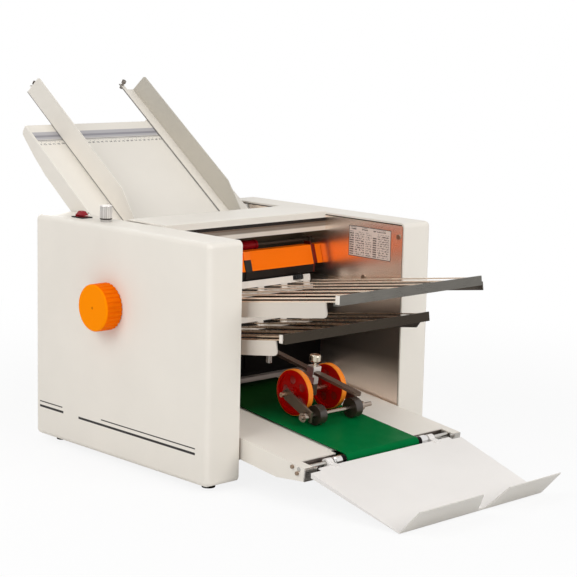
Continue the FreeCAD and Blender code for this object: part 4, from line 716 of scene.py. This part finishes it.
NODE_FINISH = {
    "left_housing": painted("striped_casing", WHITE, marks=CASING_STRIPES),
    "feed_table": painted("table_paint", WHITE, marks=table_ruler),
    "right_frame_plate": metal(
        "label_plate", srgb(255, 240, 228), 0.27, UPRIGHT_GRAIN, marks=plate_shade_and_rim,
        paper=plate_label, **POLISHED,
    ),
    "catch_tray": painted("tray_paint", srgb(238, 234, 230), marks=TRAY_LIP_SHADE),
    "guard_bracket": painted(
        "bracket_paint", srgb(29, 22, 16), cloud=0.2, specular=0.25, marks=CARRIER_REFLECTION_AND_STRAP
    ),
    "upper_comb_frame": painted(
        "comb_paint", FRAME_PAINT, gloss=0.4, marks=UPPER_RIGHT_RAIL_SHADE
    ),
    "lower_comb_frame": painted(
        "low_comb_paint", FRAME_PAINT, gloss=0.4, marks=LOWER_RIGHT_RAIL_SHADE
    ),
    "comb_bars": metal(
        "bar_steel", srgb(118, 115, 109), 0.3, (50, 900, 900), streak=0.1,
        marks=LOWER_BAR_SHADE,
    ),
    "upper_comb_strips": metal(
        "strip_steel", srgb(242, 222, 200), 0.24, (900, 60, 900), streak=0.06,
        smudge=0.04, bare=0.35,
    ),
    # The lower strips are one steel with the upper ones, painted darker as painted
    # shade under the upper comb.
    "lower_comb_strips": metal(
        "shaded_strip_steel", srgb(196, 174, 152), 0.26, (900, 60, 900), streak=0.06,
        smudge=0.04,
    ),
    "left_guide": painted("left_guide_paint", WHITE, marks=left_guide_shadow_line),
    "right_guide": painted("right_guide_paint", WHITE, marks=RIGHT_GUIDE_SHADE),
    "panel_bezels": moulded("bezel_black", PLASTIC_BLACK, marks=SILVER_COLLAR),
    "left_guide_screw": metal("guide_screw_steel", srgb(118, 110, 104), 0.3, NO_GRAIN),
    "right_guide_screw": metal("guide_nut_steel", srgb(140, 132, 126), 0.3, NO_GRAIN),
    "front_rail": metal(
        "rail_steel", srgb(150, 138, 126), 0.34, (30, 900, 1400), streak=0.1,
        marks=RAIL_SHADE_AND_HIGHLIGHT, bare=0.8,
    ),
    "exit_panel": painted(
        "panel_black", srgb(11, 9, 8), gloss=0.5, cloud=0.1, specular=0.04
    ),
    "press_rollers": moulded(
        "press_rubber", srgb(56, 45, 37), 0.3, coat=0.3, specular=0.4
    ),
    "carriage_frame": metal(
        "carriage_steel", srgb(112, 98, 84), 0.34, (700, 60, 700), streak=0.15,
        marks=BRIGHT_POST, bare=0.7,
    ),
    "carriage_rod": metal(
        "rod_steel", srgb(112, 94, 82), 0.36, (900, 40, 900), streak=0.1, bare=0.7
    ),
    "fasteners": metal("screw_nickel", srgb(158, 138, 120), 0.34, NO_GRAIN, streak=0.1),
    "clamp_knob": metal(
        "knob_nickel", srgb(216, 208, 190), 0.2, (300, 300, 60), streak=0.08
    ),
    "press_shaft": metal("shaft_steel", srgb(168, 154, 142), 0.24, (60, 900, 900)),
    "carriage_axle": metal(
        "axle_steel", srgb(222, 190, 164), 0.3, (60, 700, 700), streak=0.1
    ),
    "belt_front_roller": metal(
        "roller_chrome", srgb(224, 222, 220), 0.1, (40, 700, 700), streak=0.04,
        marks=BELT_RINGS,
    ),
}


def dress_nodes():
    """Every CAD node gets its own finish, or that of its material slot."""
    for name, node in CAD.items():
        slots = node.data.materials
        for index, material in enumerate(slots):
            slot = material.name.split(".")[0]
            slots[index] = NODE_FINISH.get(name) or SLOT_FINISH[slot]


dress_nodes()

# --------------------------------------------------- ways to make a new piece

SMOOTH_ANGLE = math.radians(35)
# A face whose normal has this much along an axis looks that way.
FACING = 0.9


def start_mesh(adder, name, **settings):
    """A fresh primitive, alone in the selection, left in edit mode."""
    bpy.ops.object.select_all(action="DESELECT")
    adder(**settings)
    piece = bpy.context.object
    piece.name = name
    bpy.ops.object.mode_set(mode="EDIT")
    return piece


def pick(piece, kind, test):
    """Select only the faces or edges that pass a test of them and of their middle."""
    mesh = bmesh.from_edit_mesh(piece.data)
    for items in (mesh.faces, mesh.edges, mesh.verts):
        for item in items:
            item.select = False
    for item in getattr(mesh, kind):
        middle = sum((corner.co for corner in item.verts), Vector()) / len(item.verts)
        if test(item, piece.matrix_world @ middle):
            item.select_set(True)
    bmesh.update_edit_mesh(piece.data)


def inset(width, **ways):
    """Inset the selected faces."""
    bpy.ops.mesh.inset(thickness=width * MM, **ways)


def push(*step):
    """Extrude what is selected by a step."""
    move = {"value": tuple(part * MM for part in step)}
    bpy.ops.mesh.extrude_region_move(TRANSFORM_OT_translate=move)


def with_modifier(piece, kind, **settings):
    """Leave edit mode and apply a modifier."""
    bpy.ops.object.mode_set(mode="OBJECT")
    change = piece.modifiers.new(kind.lower(), kind)
    for key, value in settings.items():
        setattr(change, key, value)
    bpy.ops.object.modifier_apply(modifier=change.name)


def rounded(piece, width, segments=2):
    """Leave edit mode and round the piece's edges."""
    with_modifier(
        piece, "BEVEL", width=width * MM, segments=segments, limit_method="ANGLE"
    )


def settle(piece, body, slot, finish=None):
    """Apply the piece's place, smooth it, and give it its body and its finish."""
    bpy.ops.object.mode_set(mode="OBJECT")
    bpy.ops.object.select_all(action="DESELECT")
    piece.select_set(True)
    bpy.context.view_layer.objects.active = piece
    bpy.ops.object.transform_apply(location=True, rotation=True, scale=True)
    bpy.ops.object.shade_smooth_by_angle(angle=SMOOTH_ANGLE)
    piece.data.materials.clear()
    piece.data.materials.append(finish or SLOT_FINISH[slot])
    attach(piece, body)


# The rounding of a sheet's edges, as a share of its thickness.
SHEET_EDGE = 0.3


def folded_sheet(name, outline, reach, thick, body, slot, finish=None):
    """Sheet metal bent along an outline of (y, z) points, across a reach in X."""
    middle = sum(reach) / 2
    width = (reach[1] - reach[0]) * MM
    steps = [
        (there[0] - here[0], there[1] - here[1])
        for here, there in zip(outline, outline[1:])
    ]
    piece = start_mesh(
        bpy.ops.mesh.primitive_plane_add, name, size=1.0,
        location=at(middle, *outline[0]),
    )
    first = Vector((0.0, *steps[0])) * MM
    mesh = bmesh.from_edit_mesh(piece.data)
    for corner in mesh.verts:
        corner.co.x *= width
        corner.co.yz = first.yz if corner.co.y > 0 else (0.0, 0.0)
    bmesh.update_edit_mesh(piece.data)
    for bend, step in zip(outline[1:], steps[1:]):
        spot = at(middle, *bend)
        pick(piece, "edges", lambda edge, point: (point - spot).length < TOUCH)
        push(0.0, *step)
    with_modifier(piece, "SOLIDIFY", thickness=thick * MM, offset=0.0)
    rounded(piece, thick * SHEET_EDGE)
    settle(piece, body, slot, finish)


ROD_SIDES = 32
# The rounding of a rod's edges: a share of its smallest step, up to a limit.
ROD_EDGE = 0.2
ROD_EDGE_LIMIT = 0.4


def turned_rod(name, start, steps, body, slot, finish):
    """A rod turned along X: steps are (length, radius) from its left end on."""
    end, y, z = start
    length, radius = steps[0]
    piece = start_mesh(
        bpy.ops.mesh.primitive_cylinder_add, name, vertices=ROD_SIDES,
        radius=radius * MM, depth=length * MM, location=at(end + length / 2, y, z),
        rotation=(0.0, math.pi / 2, 0.0),
    )
    end += length
    for length, next_radius in steps[1:]:
        tip = at(end, y, z)
        pick(piece, "faces", lambda face, point: abs(point.x - tip.x) < TOUCH)
        if next_radius != radius:
            push(0.0, 0.0, 0.0)
            share = next_radius / radius
            bpy.ops.transform.resize(value=(share, share, share), center_override=tip)
        push(length, 0.0, 0.0)
        end += length
        radius = next_radius
    smallest = min(min(step) for step in steps)
    rounded(piece, min(ROD_EDGE_LIMIT, smallest * ROD_EDGE))
    settle(piece, body, slot, finish)


# ------------------------------------------------------------------ new pieces

ROD_Y, ROD_Z = 2.0, 352.0


def inside_pieces():
    """What shows in the gap over the guard: a steel sheet that stands in for the shade
    there, and a sleeved tie rod; at the guard's right end, pieces that stand in for its
    reflection.
    """
    # Painted shade: a steel sheet put in the gap, where only shade shows.
    folded_sheet(
        "shade_sheet",
        [(6.0, 324.0), (20.0, 330.0), (20.0, 394.6), (6.0, 394.6)],
        (-189.7, 189.7), 1.2, "machine", "dark_metal",
        metal(
            "shade_sheet_steel", srgb(104, 92, 76), 0.5, (60, 900, 900), streak=0.1, bare=0.9
        ),
    )
    turned_rod(
        "tie_rod", (-189.5, ROD_Y, ROD_Z),
        [(6.0, 6.0), (2.0, 3.2), (363.0, 4.0), (2.0, 3.2), (6.0, 6.0)],
        "machine", "steel",
        painted("rod_black", srgb(70, 60, 50), gloss=0.4, cloud=0.1, specular=0.2),
    )
    turned_rod(
        "rod_sleeve", (-60.0, ROD_Y, ROD_Z),
        [(4.0, 9.5), (2.0, 8.0), (100.0, 9.0), (2.0, 8.0), (5.0, 9.5)],
        "machine", "wheel_red",
        moulded("sleeve_red", srgb(140, 4, 18), 0.4, specular=0.15),
    )
    # Painted reflection: an orange flange out to the frame plate, where the guard's
    # reflection in the plate shows.
    folded_sheet(
        "guard_reflection_flange",
        [(-34.6, 312.6), (-24.6, 345.4), (-10.0, 345.4)],
        (176.0, 189.6), 1.6, "machine", "guard_orange",
    )
    # Painted shade: a dark red strip between the guard and that flange, for the shaded
    # gap before the reflection.
    folded_sheet(
        "reflection_gap_strip",
        [(-33.6, 313.6), (-23.6, 346.0), (-9.0, 346.0)],
        (168.6, 176.2), 1.6, "machine", "dark_metal",
        painted("gap_shade_red", srgb(132, 26, 8), gloss=0.5, cloud=0.3, specular=0.1),
    )


def exit_pieces():
    """A steel lip at the foot of the exit panel, and the deck's turned-down notch."""
    folded_sheet(
        "exit_lip",
        [(-52.0, 129.0), (-60.5, 127.5), (-62.0, 120.5)],
        (-184.0, 184.0), 1.0, "machine", "dark_steel",
        metal(
            "lip_steel", srgb(124, 114, 108), 0.4, (60, 900, 900), streak=0.08, bare=0.5
        ),
    )
    for side, reach in (("left", (-166.0, -92.0)), ("right", (92.0, 166.0))):
        folded_sheet(
            f"notch_flange_{side}",
            [(-354.8, 64.4), (-354.8, 43.0), (-364.0, 41.0)],
            reach, 1.0, "machine", "steel",
            metal(
                "flange_steel", srgb(96, 86, 80), 0.3, (60, 900, 900), streak=0.1,
                bare=0.8,
            ),
        )


# A web is a disc with an open middle, so that the wheel's hub stays free.
WEB_SIDES = 48
WEB_RADIUS = 33.5
WEB_RING = 21
WEB_THICK = 2.2
WEB_RED = moulded("web_red", srgb(176, 30, 24), 0.2, coat=0.5, specular=0.5)


def wheel_webs():
    """A thin web closes the holes of each wheel half-way through."""
    for side in ("left", "right"):
        low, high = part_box(f"{side}_wheel")
        piece = start_mesh(
            bpy.ops.mesh.primitive_cylinder_add, f"{side}_wheel_web",
            vertices=WEB_SIDES, radius=WEB_RADIUS * MM, depth=WEB_THICK * MM,
            location=(low + high) / 2, rotation=(0.0, math.pi / 2, 0.0),
        )
        pick(piece, "faces", lambda face, point: abs(face.normal.z) > FACING)
        inset(WEB_RING, use_individual=True)
        bpy.ops.mesh.delete(type="FACE")
        pick(piece, "edges", lambda edge, point: edge.is_boundary)
        bpy.ops.mesh.bridge_edge_loops()
        rounded(piece, width=0.3)
        settle(piece, f"wheel_{side}", "wheel_red", WEB_RED)


BAR_CAP_SIZE = (2.6, 7.0, 13.5)
BAR_CAP_RIM = 1.5
BAR_CAP_RAISED = 0.8
BAR_CAPS = {
    "upper_bar_cap": (-171.8, -429.0, 334.5),
    "lower_bar_cap": (-171.8, -307.0, 255.0),
}


def bar_caps():
    """White plastic caps on the left ends of both comb bars."""
    for name, place in BAR_CAPS.items():
        piece = start_mesh(
            bpy.ops.mesh.primitive_cube_add, name, size=1.0, location=at(*place),
            scale=[part * MM for part in BAR_CAP_SIZE],
        )
        bpy.ops.object.mode_set(mode="OBJECT")
        bpy.ops.object.transform_apply(location=False, rotation=False, scale=True)
        bpy.ops.object.mode_set(mode="EDIT")
        pick(piece, "faces", lambda face, point: face.normal.x < -FACING)
        inset(BAR_CAP_RIM)
        push(-BAR_CAP_RAISED, 0.0, 0.0)
        rounded(piece, width=0.6, segments=3)
        settle(piece, "machine", "white_plastic")


def copy_to(piece, name, step):
    """Another of the same piece with its own mesh, moved by a step."""
    other = piece.copy()
    other.data = piece.data.copy()
    other.name = name
    bpy.context.scene.collection.objects.link(other)
    other.data.transform(Matrix.Translation(Vector(step) * MM))
    return other


REAR_SCREWS = [(x, z) for x in (-180.0, 180.0) for z in (48.0, 190.0, 338.0)]
REAR_SCREW_Y = 231.0
SCREW_SIDES = 28
SCREW_RADIUS = 3.8
SCREW_HEIGHT = 2.2
SCREW_RIM = 0.8
SCREW_LAND = 1.4
SCREW_RAISED = 0.5
SCREW_RECESS = 1.2


def rear_screws():
    """Domed screws with a round recess along both sides of the rear cover."""
    first_x, first_z = REAR_SCREWS[0]
    head = start_mesh(
        bpy.ops.mesh.primitive_cylinder_add, "rear_screw_0", vertices=SCREW_SIDES,
        radius=SCREW_RADIUS * MM, depth=SCREW_HEIGHT * MM,
        location=at(first_x, REAR_SCREW_Y, first_z), rotation=(-math.pi / 2, 0.0, 0.0),
    )
    pick(head, "faces", lambda face, point: face.normal.z > FACING)
    inset(SCREW_RIM)
    push(0.0, SCREW_RAISED, 0.0)
    inset(SCREW_LAND)
    push(0.0, -SCREW_RECESS, 0.0)
    rounded(head, width=0.2)
    settle(head, "machine", "steel")
    for index, (x, z) in enumerate(REAR_SCREWS[1:], 1):
        other = copy_to(head, f"rear_screw_{index}", (x - first_x, 0.0, z - first_z))
        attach(other, "machine")


# The lens leaves a gap in the rocker's opening and starts a little inside it.
LENS_GAP = 0.4 * MM
LENS_HEIGHT = 7.2 * MM
LENS_SUNK = 1.6 * MM
LENS_RIM = 0.9
LENS_DISH = 0.4
# The lens's top, as shares of its foot along X and Y.
LENS_TOP = (0.62, 0.48)


def rocker_cap():
    """A raised lens with sloping ends on the power rocker."""
    low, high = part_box("power_rocker")
    middle = (low + high) / 2
    foot = high.z - LENS_SUNK
    size = Vector((high.x - low.x - LENS_GAP, high.y - low.y - LENS_GAP, LENS_HEIGHT))
    cap = start_mesh(
        bpy.ops.mesh.primitive_cube_add, "rocker_cap", size=1.0,
        location=(middle.x, middle.y, foot + LENS_HEIGHT / 2),
    )
    mesh = bmesh.from_edit_mesh(cap.data)
    for corner in mesh.verts:
        narrow_x, narrow_y = LENS_TOP if corner.co.z > 0 else (1.0, 1.0)
        corner.co.x *= size.x * narrow_x
        corner.co.y *= size.y * narrow_y
        corner.co.z *= size.z
    bmesh.update_edit_mesh(cap.data)
    pick(cap, "faces", lambda face, point: face.normal.z > FACING)
    inset(LENS_RIM)
    push(0.0, 0.0, -LENS_DISH)
    rounded(cap, width=0.4, segments=3)
    lens = moulded("lens_red", srgb(150, 2, 26), 0.2, coat=0.1, specular=0.25)
    settle(cap, "rocker", "rocker_red", lens)


inside_pieces()
rocker_cap()
rear_screws()
exit_pieces()
wheel_webs()
bar_caps()

# --------------------------------------------------------- camera and lighting

CAMERA_PLACE = (-1953.66, -2174.99, 763.79)
CAMERA_RIGHT = Vector((0.723368, -0.690099, 0.022420))
CAMERA_UP = Vector((0.096794, 0.133504, 0.986310))
CAMERA_FORWARD = Vector((0.683644, 0.711295, -0.163370))
CAMERA_LENS = 104.04
CAMERA_SENSOR = 36.0
CAMERA_RANGE = (50 * MM, 60000 * MM)

# Square lamps: their place, their aim, their side and their power.
LAMPS = {
    "key": ((-1750, -150, 1350), (0, 40, 260), 1300, 16.2),
    "fill": ((250, -2100, 1350), (0, -100, 250), 1400, 23.0),
    "top": ((0, 100, 2200), (0, 0, 300), 1600, 4.0),
    "rear": ((500, 2000, 900), (0, 100, 250), 1400, 12.0),
}
ROOM_LIGHT = 0.42

FLOOR_SIZE = 24000 * MM
FLOOR_DROP = -0.5
FLOOR_TONE = 0.86
FLOOR_ROUGHNESS = 0.9
# How far from the middle the floor starts and ends turning white.
FLOOR_FADE = (500 * MM, 1600 * MM)


def place_camera():
    """The camera at its place, turned by its three directions."""
    data = bpy.data.cameras.new("camera")
    camera = bpy.data.objects.new("camera", data)
    bpy.context.scene.collection.objects.link(camera)
    turn = Matrix((CAMERA_RIGHT, CAMERA_UP, -CAMERA_FORWARD)).transposed()
    camera.matrix_world = Matrix.Translation(at(*CAMERA_PLACE)) @ turn.to_4x4()
    data.lens = CAMERA_LENS
    data.sensor_width = CAMERA_SENSOR
    data.clip_start, data.clip_end = CAMERA_RANGE
    bpy.context.scene.camera = camera


def soft_box(name, place, aim, side, watts):
    """A square lamp at one point that faces another."""
    data = bpy.data.lights.new(name, "AREA")
    data.shape = "SQUARE"
    data.size = side * MM
    data.energy = watts
    lamp = bpy.data.objects.new(name, data)
    lamp.location = at(*place)
    direction = at(*aim) - lamp.location
    lamp.rotation_euler = direction.to_track_quat("-Z", "Y").to_euler()
    bpy.context.scene.collection.objects.link(lamp)


def light_scene():
    """The lamps, and a white room that gives a little light from all sides."""
    for name, settings in LAMPS.items():
        soft_box(name, *settings)
    world = bpy.data.worlds.new("studio")
    bpy.context.scene.world = world
    world.use_nodes = True
    tree = world.node_tree
    rays = add(tree, "ShaderNodeLightPath").outputs
    mirrored = math_node(
        tree, "MAXIMUM", rays["Is Glossy Ray"], rays["Is Transmission Ray"]
    )
    seen = math_node(tree, "MAXIMUM", rays["Is Camera Ray"], mirrored)
    room = tree.nodes["Background"].inputs
    room["Color"].default_value = (1.0, 1.0, 1.0, 1.0)
    feed(tree, room["Strength"], ranged(tree, seen, ROOM_LIGHT, 1.0))


def lay_floor():
    """A pale floor that looks white to the camera and still takes the shadow."""
    bpy.ops.object.select_all(action="DESELECT")
    height = place_on("Z", FLOOR_DROP)
    bpy.ops.mesh.primitive_plane_add(size=FLOOR_SIZE, location=(0.0, 0.0, height))
    floor = bpy.context.object
    floor.name = "floor"
    material, tree, inputs = blank("floor_white")
    inputs["Base Color"].default_value = (FLOOR_TONE, FLOOR_TONE, FLOOR_TONE, 1.0)
    inputs["Roughness"].default_value = FLOOR_ROUGHNESS
    inputs["Specular IOR Level"].default_value = 0.0
    shine = add(tree, "ShaderNodeEmission", {"Color": (1, 1, 1, 1), "Strength": 1.0})
    away = add(tree, "ShaderNodeVectorMath", {0: body_point(tree)}, operation="LENGTH")
    white = add(
        tree,
        "ShaderNodeMapRange",
        {
            "Value": away.outputs["Value"],
            "From Min": FLOOR_FADE[0],
            "From Max": FLOOR_FADE[1],
            "To Min": FLOOR_TONE,
            "To Max": 1.0,
        },
        interpolation_type="SMOOTHSTEP",
    )
    rays = add(tree, "ShaderNodeLightPath").outputs
    blend = add(
        tree,
        "ShaderNodeMixShader",
        {
            0: joined(tree, rays["Is Camera Ray"], white.outputs["Result"]),
            1: tree.nodes["Principled BSDF"].outputs["BSDF"],
            2: shine.outputs["Emission"],
        },
    )
    feed(tree, tree.nodes["Material Output"].inputs["Surface"], blend.outputs["Shader"])
    floor.data.materials.append(material)


place_camera()
light_scene()
lay_floor()

scene = bpy.context.scene
scene.view_settings.view_transform = "Standard"
